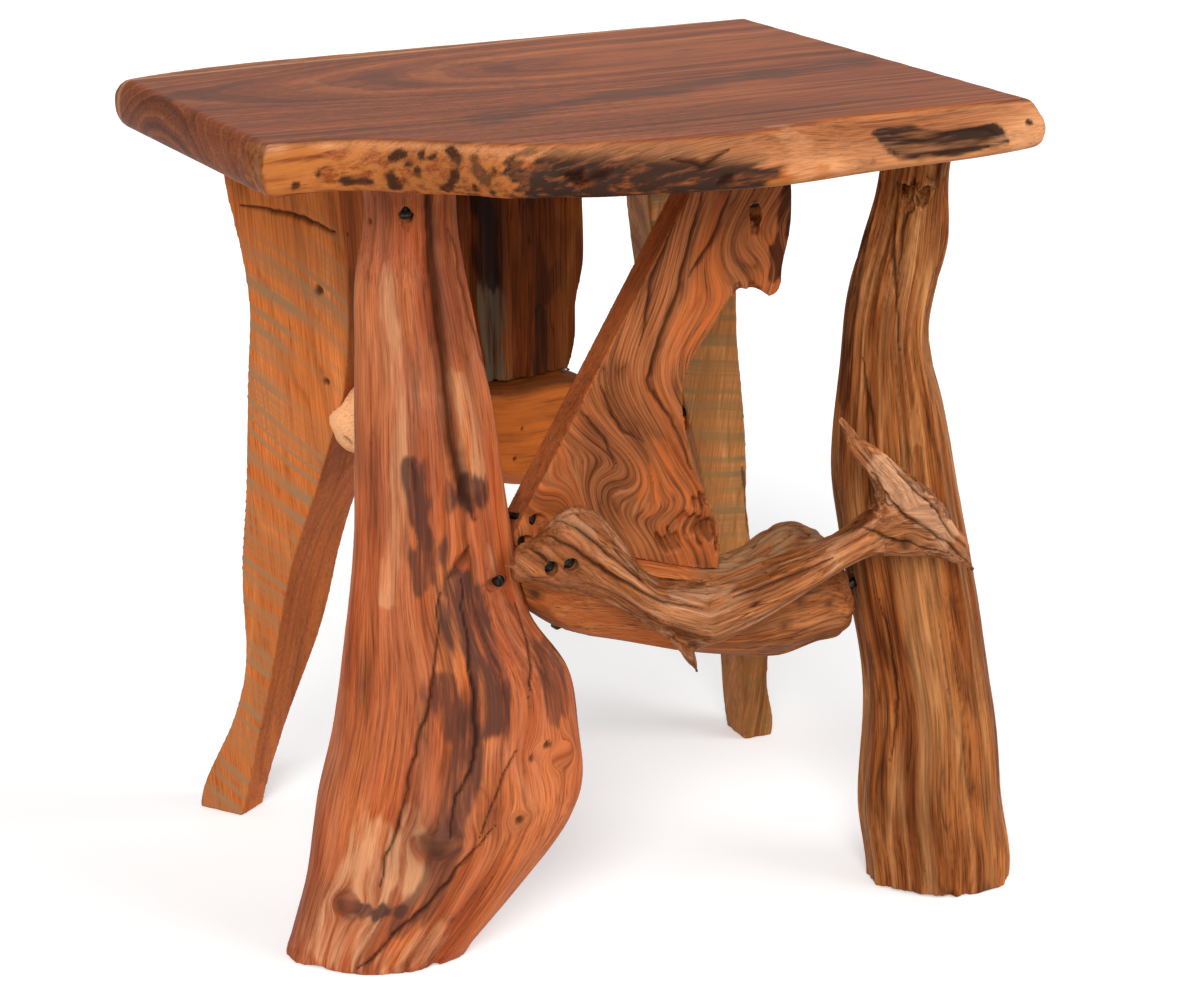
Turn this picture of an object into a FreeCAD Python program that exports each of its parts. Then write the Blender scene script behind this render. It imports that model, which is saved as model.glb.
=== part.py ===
import FreeCAD, Part

import math
import os

from FreeCAD import Placement, Rotation, Vector

# Rustic log end table: a live-edge slab on two log legs and two sawn plank legs, tied by
# crooked log rails, a burl brace, a weathered board and a driftwood branch. Millimetres.
# X runs along the slab's straight back edge, Y goes from the front to the back, Z is up.
# The finished table is centred over the origin and stands on Z = 0.

# Driving dimensions: each is written once here and read from the sheet everywhere else.
SIZES = {
    "table_height": 640,
    "slab_thickness": 36,
    "slab_length": 563,
    "slab_depth": 420,
    "slab_edge_round": 6,
    "live_edge_lean": 22,
    "front_left_leg_width": 232,
    "front_left_leg_turn": -31,
    "front_right_leg_width": 116,
    "front_right_leg_turn": -31,
    "front_right_splay_x": 43,
    "front_right_splay_y": 4,
    "back_left_leg_width": 102,
    "back_left_leg_thickness": 76,
    "back_left_leg_turn": -60,
    "back_left_leg_lean": 5.6,
    "back_right_leg_width": 107,
    "back_right_leg_thickness": 46,
    "back_right_leg_turn": -6,
    "back_right_leg_lean": 4.3,
    "front_log_diameter": 76,
    "front_log_height": 262,
    "front_log_facet_length": 130,
    "front_log_facet_reach": 27,
    "front_log_facet_tilt": 22,
    "rear_log_diameter": 100,
    "rear_log_height": 330,
    "rear_log_overhang": 30,
    "rear_log_inset": 19,
    "rear_log_tail": 12,
    "rear_log_saw_depth": 26,
    "branch_diameter": 44,
    "brace_width": 217,
    "brace_thickness": 36,
    "rear_board_width": 145,
    "rear_board_thickness": 36,
    "seat_gap": 0.3,
    "cut_overrun": 20,
    "screw_diameter": 5,
    "screw_head_diameter": 8.6,
    "screw_head_height": 3.4,
    "screw_length": 62,
    "screw_recess": 12,
    "screw_clearance": 0.3,
    "toe_screw_angle": 30,
    "toe_screw_drop": 38,
    "brace_screw_drop": 50,
    "screw_pair_gap": 11,
    "plank_screw_spread": 44,
    "foot_screw_rise": 68,
    "board_screw_rise": 78,
    "side_screw_rise": 39,
    "side_screw_recess": 14,
    "brace_side_upper_rise": 76,
    "brace_side_lower_rise": 60,
    "brace_side_inset": 14,
    "brace_side_recess": 8,
    "lag_diameter": 8,
    "lag_head_diameter": 14,
    "lag_head_height": 5.5,
    "lag_length": 80,
    "lag_recess": 20,
    "lag_rise_angle": 35,
}

FULL_TURN = 360
RING_POINTS = 12
RING_ARCS = 4
FLUTES = 5
LOFT_DEGREE = 3
LEG_FLUTE_SHARE = 0.025
LOG_FLUTE_SHARE = 0.03
HEAD_BEVEL_SHARE = 0.3
POINT_SHARE = 0.12
FRONT_ANGLE = -90
UP = Vector(0, 0, 1)
ORIGIN = Vector(0, 0, 0)

document = FreeCAD.newDocument("RusticTable")
sheet = document.addObject("Spreadsheet::Sheet", "sizes")
for row, (alias, value) in enumerate(SIZES.items(), start=1):
    sheet.set(f"A{row}", alias)
    sheet.set(f"B{row}", str(value))
    sheet.setAlias(f"B{row}", alias)
document.recompute()


def size(alias):
    """A driving dimension, as the sheet holds it."""
    return float(sheet.get(alias))


half_length = size("slab_length") / 2
half_depth = size("slab_depth") / 2
slab_underside = size("table_height") - size("slab_thickness")
subparts = []


# Helpers

def turned(angle):
    """The level directions across and deep of a piece turned about the vertical."""
    rotation = Rotation(UP, angle)
    return rotation.multVec(Vector(1, 0, 0)), rotation.multVec(Vector(0, 1, 0))


def between(start, end, share):
    """The point at a share of the way from start to end."""
    return start + (end - start) * share


def feature(name, shape):
    """A plain feature that holds one shape."""
    item = document.addObject("Part::Feature", name)
    item.Shape = shape
    return item


def cut(name, base, tool):
    """The base with the tool taken out of it."""
    item = document.addObject("Part::Cut", name)
    item.Base = base
    item.Tool = tool
    return item


def piece(name, item):
    """Names the finished sub-part and lists it for writing."""
    item.Label = name
    subparts.append(item)
    return item


def loft(rings):
    """A smooth solid through closed rings."""
    return Part.makeLoft(rings, True, False, False, LOFT_DEGREE)


def row_at(rows, share):
    """The values of a share table at a share, between its two nearest rows."""
    for row_one, row_two in zip(rows, rows[1:]):
        part_way = (share - row_one[0]) / (row_two[0] - row_one[0])
        if 0 <= part_way <= 1:
            return [one + (two - one) * part_way for one, two in zip(row_one[1:], row_two[1:])]
    return rows[-1][1:]


def ring(centre, across, deep, left, right, front, back, flute_share, phase, grow):
    """One closed cross-section of a log: an ellipse between its four sides, gently fluted."""
    middle = centre + across * ((left + right) / 2) + deep * ((front + back) / 2)
    half_across = (right - left) / 2 + grow
    half_deep = (back - front) / 2 + grow
    points = []
    for step in range(RING_POINTS):
        angle = math.radians(FULL_TURN * step / RING_POINTS)
        flute = 1 + flute_share * math.cos(FLUTES * angle + phase)
        points.append(middle + across * (half_across * flute * math.cos(angle))
                      + deep * (half_deep * flute * math.sin(angle)))
    curve = Part.BSplineCurve()
    curve.interpolate(Points=points, PeriodicFlag=True, Parameters=list(range(RING_POINTS + 1)))
    arc = RING_POINTS // RING_ARCS
    return Part.Wire([curve.toShape(arc * number, arc * (number + 1)) for number in range(RING_ARCS)])


# Slab: flat top and underside, two sawn ends, a rolling live edge in front and one behind.
# Front edge rows are x, y and lean: x and y as shares of the half length and half depth.
front_edge_shares = [
    (-1.025, -0.365, 0.1),
    (-0.72, -0.50, 0.3),
    (-0.54, -0.73, 0.4),
    (-0.275, -0.90, 0.6),
    (0.07, -0.985, 1.0),
    (0.39, -0.93, 1.3),
    (0.70, -0.955, 1.1),
    (0.935, -0.995, 0.25),
]
back_edge_shares = [
    (1.025, 1.005),
    (0.50, 1.035),
    (-0.20, 1.075),
    (-0.71, 1.085),
    (-0.97, 1.005),
]
# Levels of the slab: height, inset of the rounded rim and lean of the live edge.
slab_level_shares = [
    (0.0, 1.0, 0.85),
    (0.2, 0.0, 1.0),
    (0.5, -0.3, 0.7),
    (0.8, 0.0, 0.2),
    (1.0, 1.0, 0.0),
]


def spline(points):
    """A smooth edge through the points."""
    curve = Part.BSplineCurve()
    curve.interpolate(points)
    return curve.toShape()


def slab_outline(height_share, inset_share, lean_share):
    """The slab's outline at one level."""
    inset = size("slab_edge_round") * inset_share
    lean = size("live_edge_lean") * lean_share
    level = slab_underside + size("slab_thickness") * height_share
    along = half_length - inset
    deep = half_depth - inset
    front = [Vector(x * along, y * deep - lean * weight, level) for x, y, weight in front_edge_shares]
    back = [Vector(x * along, y * deep, level) for x, y in back_edge_shares]
    return Part.Wire([
        spline(front),
        Part.makeLine(front[-1], back[0]),
        spline(back),
        Part.makeLine(back[-1], front[0]),
    ])


slab_blank = feature("slab_blank", loft([slab_outline(*level) for level in slab_level_shares]))


# Front legs: natural logs. Rows are height, left, right, front and back edges from the leg's
# axis: heights as shares of the leg's length, edges as shares of the leg's greatest width.
front_left_place_shares = (-0.543, -0.114)
front_left_leg_shares = [
    (1.00, -0.164, 0.164, -0.155, 0.155),
    (0.89, -0.164, 0.168, -0.16, 0.16),
    (0.82, -0.18, 0.20, -0.17, 0.17),
    (0.74, -0.185, 0.24, -0.18, 0.185),
    (0.66, -0.19, 0.27, -0.19, 0.195),
    (0.58, -0.195, 0.293, -0.195, 0.20),
    (0.50, -0.21, 0.32, -0.205, 0.21),
    (0.434, -0.233, 0.37, -0.21, 0.22),
    (0.39, -0.25, 0.45, -0.215, 0.23),
    (0.33, -0.27, 0.50, -0.22, 0.235),
    (0.25, -0.315, 0.522, -0.23, 0.24),
    (0.166, -0.358, 0.468, -0.24, 0.24),
    (0.083, -0.392, 0.318, -0.245, 0.22),
    (0.033, -0.427, 0.215, -0.245, 0.20),
    (0.0, -0.453, 0.15, -0.237, 0.18),
]
front_right_place_shares = (0.765, -0.614)
front_right_leg_shares = [
    (1.00, -0.25, 0.25, -0.24, 0.24),
    (0.89, -0.36, 0.185, -0.26, 0.26),
    (0.81, -0.48, 0.095, -0.28, 0.28),
    (0.735, -0.54, 0.056, -0.30, 0.30),
    (0.695, -0.565, 0.09, -0.31, 0.31),
    (0.645, -0.60, 0.147, -0.33, 0.33),
    (0.57, -0.625, 0.20, -0.35, 0.35),
    (0.50, -0.595, 0.255, -0.37, 0.36),
    (0.41, -0.54, 0.33, -0.38, 0.37),
    (0.33, -0.48, 0.38, -0.39, 0.38),
    (0.25, -0.46, 0.427, -0.40, 0.39),
    (0.166, -0.50, 0.46, -0.41, 0.40),
    (0.083, -0.515, 0.49, -0.42, 0.41),
    (0.0, -0.48, 0.508, -0.41, 0.40),
]


class LogLeg:
    """A log that stands on the floor and carries the slab."""

    def __init__(self, place_shares, splay, turn, width, rows, phase):
        self.top = Vector(place_shares[0] * half_length, place_shares[1] * half_depth, slab_underside)
        self.foot = Vector(self.top.x + splay[0], self.top.y + splay[1], 0)
        self.across, self.deep = turned(turn)
        self.width = width
        self.rows = rows
        self.phase = phase

    def axis_at(self, height):
        """The point of the leg's axis at a height."""
        return between(self.foot, self.top, height / slab_underside)

    def surface(self, height, angle):
        """The point of the leg's side at a height, at an angle from its right side to its back."""
        left, right, front, back = [self.width * edge for edge in row_at(self.rows, height / slab_underside)]
        turn = math.radians(angle)
        across = (left + right) / 2 + (right - left) / 2 * math.cos(turn)
        deep = (front + back) / 2 + (back - front) / 2 * math.sin(turn)
        return self.axis_at(height) + self.across * across + self.deep * deep

    def solid(self, grow=0):
        """The log's solid, or the solid grown by a clearance, which what seats on it is coped to."""
        rings = []
        for height_share, left, right, front, back in self.rows:
            edges = [self.width * edge for edge in (left, right, front, back)]
            centre = between(self.foot, self.top, height_share)
            rings.append(ring(centre, self.across, self.deep, *edges, LEG_FLUTE_SHARE, self.phase, grow))
        return loft(rings)


front_left = LogLeg(front_left_place_shares, (0, 0), size("front_left_leg_turn"),
                    size("front_left_leg_width"), front_left_leg_shares, 0.4)
front_right = LogLeg(front_right_place_shares, (size("front_right_splay_x"), size("front_right_splay_y")),
                     size("front_right_leg_turn"), size("front_right_leg_width"),
                     front_right_leg_shares, 1.7)
front_left_blank = feature("front_left_blank", front_left.solid())
front_right_blank = feature("front_right_blank", front_right.solid())


# Back legs: tapering sawn planks. Each is a padded outline, leant and turned, and then trimmed
# level with the floor and with the slab's underside.
def outline_sketch(body, name, edges, plane_role):
    """A closed outline in a plane of the body: each edge is a spline or a line through its points."""
    plane = [axis for axis in body.Origin.OriginFeatures if axis.Role == plane_role][0]
    sketch = body.newObject("Sketcher::SketchObject", name)
    sketch.AttachmentSupport = (plane, [""])
    sketch.MapMode = "FlatFace"
    for points in edges:
        if len(points) == 2:
            sketch.addGeometry(Part.LineSegment(*points), False)
        else:
            curve = Part.BSplineCurve()
            curve.interpolate(points)
            sketch.addGeometry(curve, False)
    return sketch


def board_body(name, edges, thickness_alias):
    """A board: an outline padded by its thickness towards the back."""
    body = document.addObject("PartDesign::Body", name)
    sketch = outline_sketch(body, name + "_outline", edges, "XZ_Plane")
    pad = body.newObject("PartDesign::Pad", name + "_pad")
    pad.Profile = sketch
    pad.setExpression("Length", "sizes." + thickness_alias)
    pad.Reversed = True
    sketch.Visibility = False
    document.recompute()
    return body


leg_zone = document.addObject("Part::Box", "leg_zone")
leg_zone.setExpression("Length", "sizes.slab_length * 3")
leg_zone.setExpression("Width", "sizes.slab_depth * 4")
leg_zone.setExpression("Height", "sizes.table_height - sizes.slab_thickness")
leg_zone.setExpression("Placement.Base.x", "-Length / 2")
leg_zone.setExpression("Placement.Base.y", "-Width / 2")


class PlankLeg:
    """A sawn plank whose top middle meets the slab at its place. Its side tables are across and
    up: across as shares of its width from the middle of its top, up as shares of its length. Its
    back table is deep and up: deep as shares of its thickness."""

    def __init__(self, name, place_shares, left_shares, right_shares, back_shares):
        self.lean = size(name + "_leg_lean")
        self.width = size(name + "_leg_width")
        self.thickness = size(name + "_leg_thickness")
        self.length = slab_underside / math.cos(math.radians(self.lean))
        self.left_shares = left_shares
        self.right_shares = right_shares
        self.across, self.deep = turned(size(name + "_leg_turn"))
        self.rotation = Rotation(UP, size(name + "_leg_turn")).multiply(Rotation(Vector(1, 0, 0), self.lean))
        top = Vector(place_shares[0] * half_length, place_shares[1] * half_depth, slab_underside)
        foot = top - self.rotation.multVec(Vector(0, 0, self.length))
        self.body = board_body(name + "_plank", self.outline(), name + "_leg_thickness")
        self.body.Placement = Placement(foot, self.rotation)
        back = self.back_body(name + "_back", back_shares)
        back.Placement = self.body.Placement
        self.trimmed = document.addObject("Part::MultiCommon", name + "_trimmed")
        self.trimmed.Shapes = [self.body, back, leg_zone]

    def outline(self):
        """The plank's outline, overrunning the floor and the slab."""
        rise = Vector(0, size("cut_overrun"), 0)
        left = [Vector(a * self.width, b * self.length, 0) for a, b in self.left_shares]
        right = [Vector(a * self.width, b * self.length, 0) for a, b in self.right_shares]
        corners = [left[0] + rise, right[0] + rise, right[-1] - rise, left[-1] - rise]
        return [
            [corners[0], corners[1]],
            [corners[1], right[0]],
            right,
            [right[-1], corners[2]],
            [corners[2], corners[3]],
            [corners[3], left[-1]],
            left,
            [left[0], corners[0]],
        ]

    def back_body(self, name, back_shares):
        """A block as wide as the plank ever is, whose back follows the plank's own."""
        overrun = size("cut_overrun")
        rise = Vector(0, overrun, 0)
        back = [Vector(a * self.thickness, b * self.length, 0) for a, b in back_shares]
        front_top = Vector(-overrun, back[0].y + overrun, 0)
        front_foot = Vector(-overrun, back[-1].y - overrun, 0)
        body = document.addObject("PartDesign::Body", name)
        sketch = outline_sketch(body, name + "_outline", [
            [front_top, back[0] + rise],
            [back[0] + rise, back[0]],
            back,
            [back[-1], back[-1] - rise],
            [back[-1] - rise, front_foot],
            [front_foot, front_top],
        ], "YZ_Plane")
        pad = body.newObject("PartDesign::Pad", name + "_pad")
        pad.Profile = sketch
        pad.setExpression("Length", "sizes.slab_length * 2")
        pad.Midplane = True
        sketch.Visibility = False
        document.recompute()
        return body

    def at(self, across, height, depth):
        """The point of the plank at a height, across from its middle and behind its front."""
        lift = self.rotation.multVec(UP)
        foot = self.body.Placement.Base
        start = foot + self.rotation.multVec(Vector(across, 0, 0)) + lift * ((height - foot.z) / lift.z)
        return start + self.rotation.multVec(Vector(0, 1, 0)) * depth

    def edge(self, side_shares, height, depth):
        """The point of one of the plank's edges at a height, behind its front."""
        across_share = row_at([(up, across) for across, up in side_shares], height / slab_underside)[0]
        return self.at(across_share * self.width, height, depth)


back_left = PlankLeg(
    "back_left", (-0.614, 0.713),
    [(-0.50, 1.0), (-0.50, 0.90), (-0.42, 0.82), (-0.40, 0.76), (-0.46, 0.68), (-0.61, 0.49),
     (-0.73, 0.36), (-0.77, 0.25), (-0.86, 0.19), (-1.07, 0.115), (-1.36, 0.02), (-1.39, 0.0)],
    [(0.50, 1.0), (0.50, 0.75), (0.39, 0.65), (0.255, 0.59), (0.03, 0.50), (-0.235, 0.395),
     (-0.42, 0.29), (-0.61, 0.185), (-0.80, 0.085), (-0.97, 0.0)],
    [(0.70, 1.0), (0.86, 0.80), (0.97, 0.60), (1.0, 0.43), (0.97, 0.33), (0.88, 0.25),
     (0.70, 0.18), (0.55, 0.12), (0.45, 0.05), (0.43, 0.0)])
back_right = PlankLeg(
    "back_right", (0.6275, 0.728),
    [(-0.27, 1.0), (-0.14, 0.85), (-0.04, 0.735), (0.20, 0.57), (0.43, 0.43), (0.67, 0.27),
     (0.88, 0.131), (0.92, 0.05), (0.957, 0.0)],
    [(0.50, 1.0), (0.67, 0.685), (0.71, 0.61), (0.80, 0.505), (0.85, 0.41), (0.92, 0.31),
     (1.14, 0.13), (1.15, 0.075), (1.20, 0.04), (1.21, 0.0)],
    [(0.92, 1.0), (1.0, 0.80), (1.0, 0.50), (0.98, 0.20), (0.90, 0.08), (0.80, 0.0)])


# Front log rail: a crooked log from the left log leg to a blunt nose against the right one.
# Rows are along, height, half height and half depth: along as a share of the way between the
# legs' axes, height as a share of the rail's height, halves as shares of its diameter.
front_log_shares = [
    (0.00, 1.19, 0.29, 0.31),
    (0.17, 1.14, 0.33, 0.36),
    (0.24, 1.09, 0.42, 0.42),
    (0.31, 1.055, 0.48, 0.45),
    (0.38, 1.03, 0.49, 0.46),
    (0.46, 0.995, 0.49, 0.47),
    (0.54, 0.965, 0.50, 0.47),
    (0.61, 0.955, 0.54, 0.48),
    (0.675, 0.975, 0.65, 0.50),
    (0.745, 0.995, 0.65, 0.48),
    (0.79, 0.98, 0.55, 0.42),
    (0.824, 0.94, 0.36, 0.30),
    (0.846, 0.915, 0.13, 0.12),
]

front_rail_start = front_left.axis_at(size("front_log_height"))
front_rail_end = front_right.axis_at(size("front_log_height"))
front_rail_way = Vector(front_rail_end.x - front_rail_start.x, front_rail_end.y - front_rail_start.y, 0)
front_rail_along = Vector(front_rail_way).normalize()
front_rail_deep = UP.cross(front_rail_along)


def front_rail_point(along_share, height):
    """A point over the line between the front legs' axes."""
    return Vector(front_rail_start.x, front_rail_start.y, height) + front_rail_way * along_share


# The facet sanded on the front log's left part: its middle, along and up.
front_log_facet_share = 0.36
front_log_facet_height_share = 1.05
front_turn = math.degrees(math.atan2(front_rail_along.y, front_rail_along.x))


def log_solid(rows, point_at, height_size, diameter, deep, flute_share, phase, grow=0):
    """A lying log lofted through upright rings."""
    rings = []
    for along_share, height_share, half_height, half_deep in rows:
        centre = point_at(along_share, height_size * height_share)
        rings.append(ring(centre, deep, UP, -half_deep * diameter, half_deep * diameter,
                          -half_height * diameter, half_height * diameter, flute_share, phase, grow))
    return loft(rings)


def front_log_solid(grow=0):
    """The front log, or the log grown by a clearance."""
    return log_solid(front_log_shares, front_rail_point, size("front_log_height"),
                     size("front_log_diameter"), front_rail_deep, LOG_FLUTE_SHARE, 0.9, grow)


front_log_blank = feature("front_log_blank", front_log_solid())
facet_block = document.addObject("Part::Box", "front_log_facet_block")
facet_block.setExpression("Length", "sizes.front_log_facet_length")
facet_block.setExpression("Width", "sizes.front_log_diameter")
facet_block.setExpression("Height", "sizes.front_log_diameter * 2")
facet_height = size("front_log_height") * front_log_facet_height_share
facet_middle = front_rail_point(front_log_facet_share, facet_height)
facet_turn = Rotation(UP, front_turn).multiply(Rotation(Vector(1, 0, 0), size("front_log_facet_tilt")))
facet_corner = Vector(
    -size("front_log_facet_length") / 2,
    -size("front_log_facet_reach") - size("front_log_diameter"),
    -size("front_log_diameter"))
facet_block.Placement = Placement(facet_middle + facet_turn.multVec(facet_corner), facet_turn)
front_log_sanded = cut("front_log_sanded", front_log_blank, facet_block)


# Rear log rail: its nose overhangs the back left leg, it swells where it carries the rear board,
# its front is sawn flat, and its tail ends against the side of the back right leg.
rear_log_shares = [
    (0.00, 1.133, 0.04, 0.05),
    (0.02, 1.133, 0.19, 0.18),
    (0.055, 1.133, 0.28, 0.27),
    (0.13, 1.127, 0.32, 0.31),
    (0.26, 1.085, 0.37, 0.34),
    (0.38, 1.04, 0.42, 0.37),
    (0.47, 1.015, 0.46, 0.38),
    (0.58, 1.005, 0.49, 0.39),
    (0.67, 0.985, 0.43, 0.35),
    (0.78, 0.98, 0.34, 0.29),
    (0.89, 0.97, 0.27, 0.23),
    (1.00, 0.96, 0.22, 0.19),
]
rear_log_seat_share = 0.28
rear_saw_start_share = 0.27
rear_left_seat = (back_left.edge(back_left.right_shares, size("rear_log_height"), 0)
                  + back_left.deep * size("rear_log_inset")
                  + back_left.across * (size("rear_log_diameter") * rear_log_seat_share))
rear_right_seat = back_right.edge(back_right.left_shares, size("rear_log_height"), back_right.thickness / 2)
rear_along = Vector(rear_right_seat.x - rear_left_seat.x, rear_right_seat.y - rear_left_seat.y, 0).normalize()
rear_deep = UP.cross(rear_along)
rear_start = rear_left_seat - rear_along * size("rear_log_overhang")
rear_way = rear_right_seat + rear_along * size("rear_log_tail") - rear_start


def rear_rail_point(along_share, height):
    """A point over the rear log's axis."""
    return Vector(rear_start.x, rear_start.y, height) + rear_way * along_share


def rear_log_solid(grow=0):
    """The rear log, or the log grown by a clearance."""
    return log_solid(rear_log_shares, rear_rail_point, size("rear_log_height"),
                     size("rear_log_diameter"), rear_deep, LOG_FLUTE_SHARE, 2.1, grow)


rear_log_blank = feature("rear_log_blank", rear_log_solid())
saw_block = document.addObject("Part::Box", "rear_log_saw_block")
saw_block.setExpression("Length", "sizes.slab_length")
saw_block.setExpression("Width", "sizes.rear_log_diameter")
saw_block.setExpression("Height", "sizes.rear_log_diameter * 2")
saw_turn = Rotation(Vector(1, 0, 0), rear_along)
saw_corner = rear_rail_point(rear_saw_start_share, size("rear_log_height") - size("rear_log_diameter"))
saw_block.Placement = Placement(
    saw_corner - rear_deep * (size("rear_log_saw_depth") + size("rear_log_diameter")), saw_turn)
rear_log_sawn = cut("rear_log_sawn", rear_log_blank, saw_block)


# Boards: the weathered board on the rear log and the burl brace on the front log. Rows are
# across and up: across as shares of the board's width, up as shares of the way from the log's
# axis height to the slab's underside.
def standing_board(name, outline_edges, thickness_alias, base, turn, depth_share):
    """A board that stands on a log, its middle plane or face set over the log's axis."""
    body = board_body(name, outline_edges, thickness_alias)
    _, deep = turned(turn)
    body.Placement = Placement(base - deep * (size(thickness_alias) * depth_share), Rotation(UP, turn))
    return body


def board_edges(edge_tables, width, reach):
    """Outline edges from tables of across and up shares, each table being one edge."""
    return [[Vector(a * width, b * reach, 0) for a, b in table] for table in edge_tables]


rear_board_edge_shares = [
    [(-0.50, 1.0), (0.55, 1.0)],
    [(0.55, 1.0), (0.57, 0.84), (0.585, 0.62), (0.575, 0.47), (0.53, 0.38), (0.52, 0.27),
     (0.48, 0.18), (0.46, 0.07)],
    [(0.46, 0.07), (-0.48, 0.12)],
    [(-0.48, 0.12), (-0.52, 0.40), (-0.49, 0.70), (-0.50, 1.0)],
]
rear_board_place_share = 0.43
rear_turn = math.degrees(math.atan2(rear_along.y, rear_along.x))
rear_board_body = standing_board(
    "rear_board_plank",
    board_edges(rear_board_edge_shares, size("rear_board_width"), slab_underside - size("rear_log_height")),
    "rear_board_thickness", rear_rail_point(rear_board_place_share, size("rear_log_height")), rear_turn, 0.5)

brace_place_share = 0.19
brace_reach = slab_underside - size("front_log_height")


def brace_foot(across_share):
    """A point of the brace's lower edge, which lies inside the log, on its axis."""
    along_share = brace_place_share + across_share * size("brace_width") / front_rail_way.Length
    height = size("front_log_height") * row_at(front_log_shares, along_share)[0]
    return across_share, (height - size("front_log_height")) / brace_reach


brace_foot_edge = [brace_foot(across_share) for across_share in (0.68, 0.36, 0.165, -0.10)]
brace_edge_shares = [
    [(0.655, 1.0), (0.925, 1.0)],
    [(0.925, 1.0), (0.942, 0.88), (0.933, 0.80), (0.912, 0.735), (0.90, 0.69), (0.868, 0.678)],
    [(0.868, 0.678), (0.84, 0.692), (0.755, 0.693), (0.69, 0.642), (0.62, 0.577), (0.58, 0.53),
     (0.563, 0.45), (0.575, 0.396), (0.61, 0.31), (0.655, 0.24), (0.695, 0.175), (0.705, 0.10)],
    [(0.705, 0.10), brace_foot_edge[0]],
    brace_foot_edge,
    [brace_foot_edge[-1], (0.655, 1.0)],
]
brace_body = standing_board(
    "brace_plank",
    board_edges(brace_edge_shares, size("brace_width"), brace_reach),
    "brace_thickness", front_rail_point(brace_place_share, size("front_log_height")), front_turn, 0.5)


# Branch: driftwood with a hanging elbow, a splinter under it and a forked right end, laid
# against the brace, the front log and the right log leg. Rows are along, height, slope of the
# wood's run, half height, half depth and stand-off: along as a share of the way between the
# legs' axes, height as a share of the front log's height, slope in degrees, halves as shares
# of the branch's diameter, stand-off as a share of the front log's diameter.
branch_shares = [
    (0.134, 1.206, -8, 0.04, 0.06, 0.62),
    (0.153, 1.198, -8, 0.18, 0.17, 0.60),
    (0.187, 1.207, -8, 0.38, 0.28, 0.56),
    (0.226, 1.218, -8, 0.60, 0.36, 0.52),
    (0.261, 1.223, -10, 0.76, 0.42, 0.49),
    (0.302, 1.206, -14, 0.72, 0.44, 0.50),
    (0.342, 1.156, -20, 0.56, 0.44, 0.54),
    (0.374, 1.108, -22, 0.46, 0.44, 0.58),
    (0.404, 1.068, -19, 0.43, 0.43, 0.62),
    (0.448, 1.034, -13, 0.55, 0.44, 0.68),
    (0.506, 1.014, -4, 0.60, 0.45, 0.71),
    (0.575, 1.040, 8, 0.53, 0.43, 0.70),
    (0.634, 1.074, 15, 0.48, 0.40, 0.70),
    (0.689, 1.108, 19, 0.42, 0.39, 0.70),
    (0.744, 1.141, 22, 0.37, 0.37, 0.68),
    (0.793, 1.173, 20, 0.36, 0.36, 0.68),
    (0.841, 1.209, 12, 0.47, 0.40, 0.70),
    (0.896, 1.240, 3, 0.66, 0.45, 0.74),
    (0.951, 1.211, -5, 0.57, 0.42, 0.77),
    (0.992, 1.154, -7, 0.36, 0.34, 0.79),
    (1.017, 1.105, -9, 0.18, 0.20, 0.80),
    (1.031, 1.075, -12, 0.08, 0.08, 0.80),
]
branch_prong_shares = [
    (0.898, 1.281, -66, 0.50, 0.38, 0.76),
    (0.869, 1.350, -68, 0.39, 0.34, 0.76),
    (0.844, 1.397, -68, 0.29, 0.28, 0.77),
    (0.814, 1.446, -61, 0.23, 0.22, 0.78),
    (0.789, 1.486, -50, 0.18, 0.17, 0.79),
    (0.769, 1.528, -42, 0.11, 0.11, 0.79),
    (0.755, 1.564, -40, 0.04, 0.04, 0.80),
]
branch_splinter_shares = [
    (0.447, 1.009, -116, 0.33, 0.36, 0.71),
    (0.461, 0.936, -115, 0.31, 0.30, 0.71),
    (0.478, 0.883, -115, 0.21, 0.20, 0.71),
    (0.494, 0.834, -118, 0.05, 0.05, 0.71),
]


def branch_solid(rows):
    """A run of the branch, lofted through rings square to the wood's run."""
    diameter = size("branch_diameter")
    rings = []
    for along_share, height_share, slope, half_height, half_deep, stand_off in rows:
        centre = front_rail_point(along_share, size("front_log_height") * height_share)
        centre = centre - front_rail_deep * (size("front_log_diameter") * stand_off)
        angle = math.radians(slope)
        across = UP * math.cos(angle) - front_rail_along * math.sin(angle)
        rings.append(ring(centre, front_rail_deep, across, -half_deep * diameter, half_deep * diameter,
                          -half_height * diameter, half_height * diameter, LOG_FLUTE_SHARE, 0.5, 0))
    return loft(rings)


branch_stem = feature("branch_stem", branch_solid(branch_shares))
branch_prong = feature("branch_prong", branch_solid(branch_prong_shares))
branch_splinter = feature("branch_splinter", branch_solid(branch_splinter_shares))
branch_forked = document.addObject("Part::MultiFuse", "branch_forked")
branch_forked.Shapes = [branch_stem, branch_prong, branch_splinter]
document.recompute()


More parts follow.
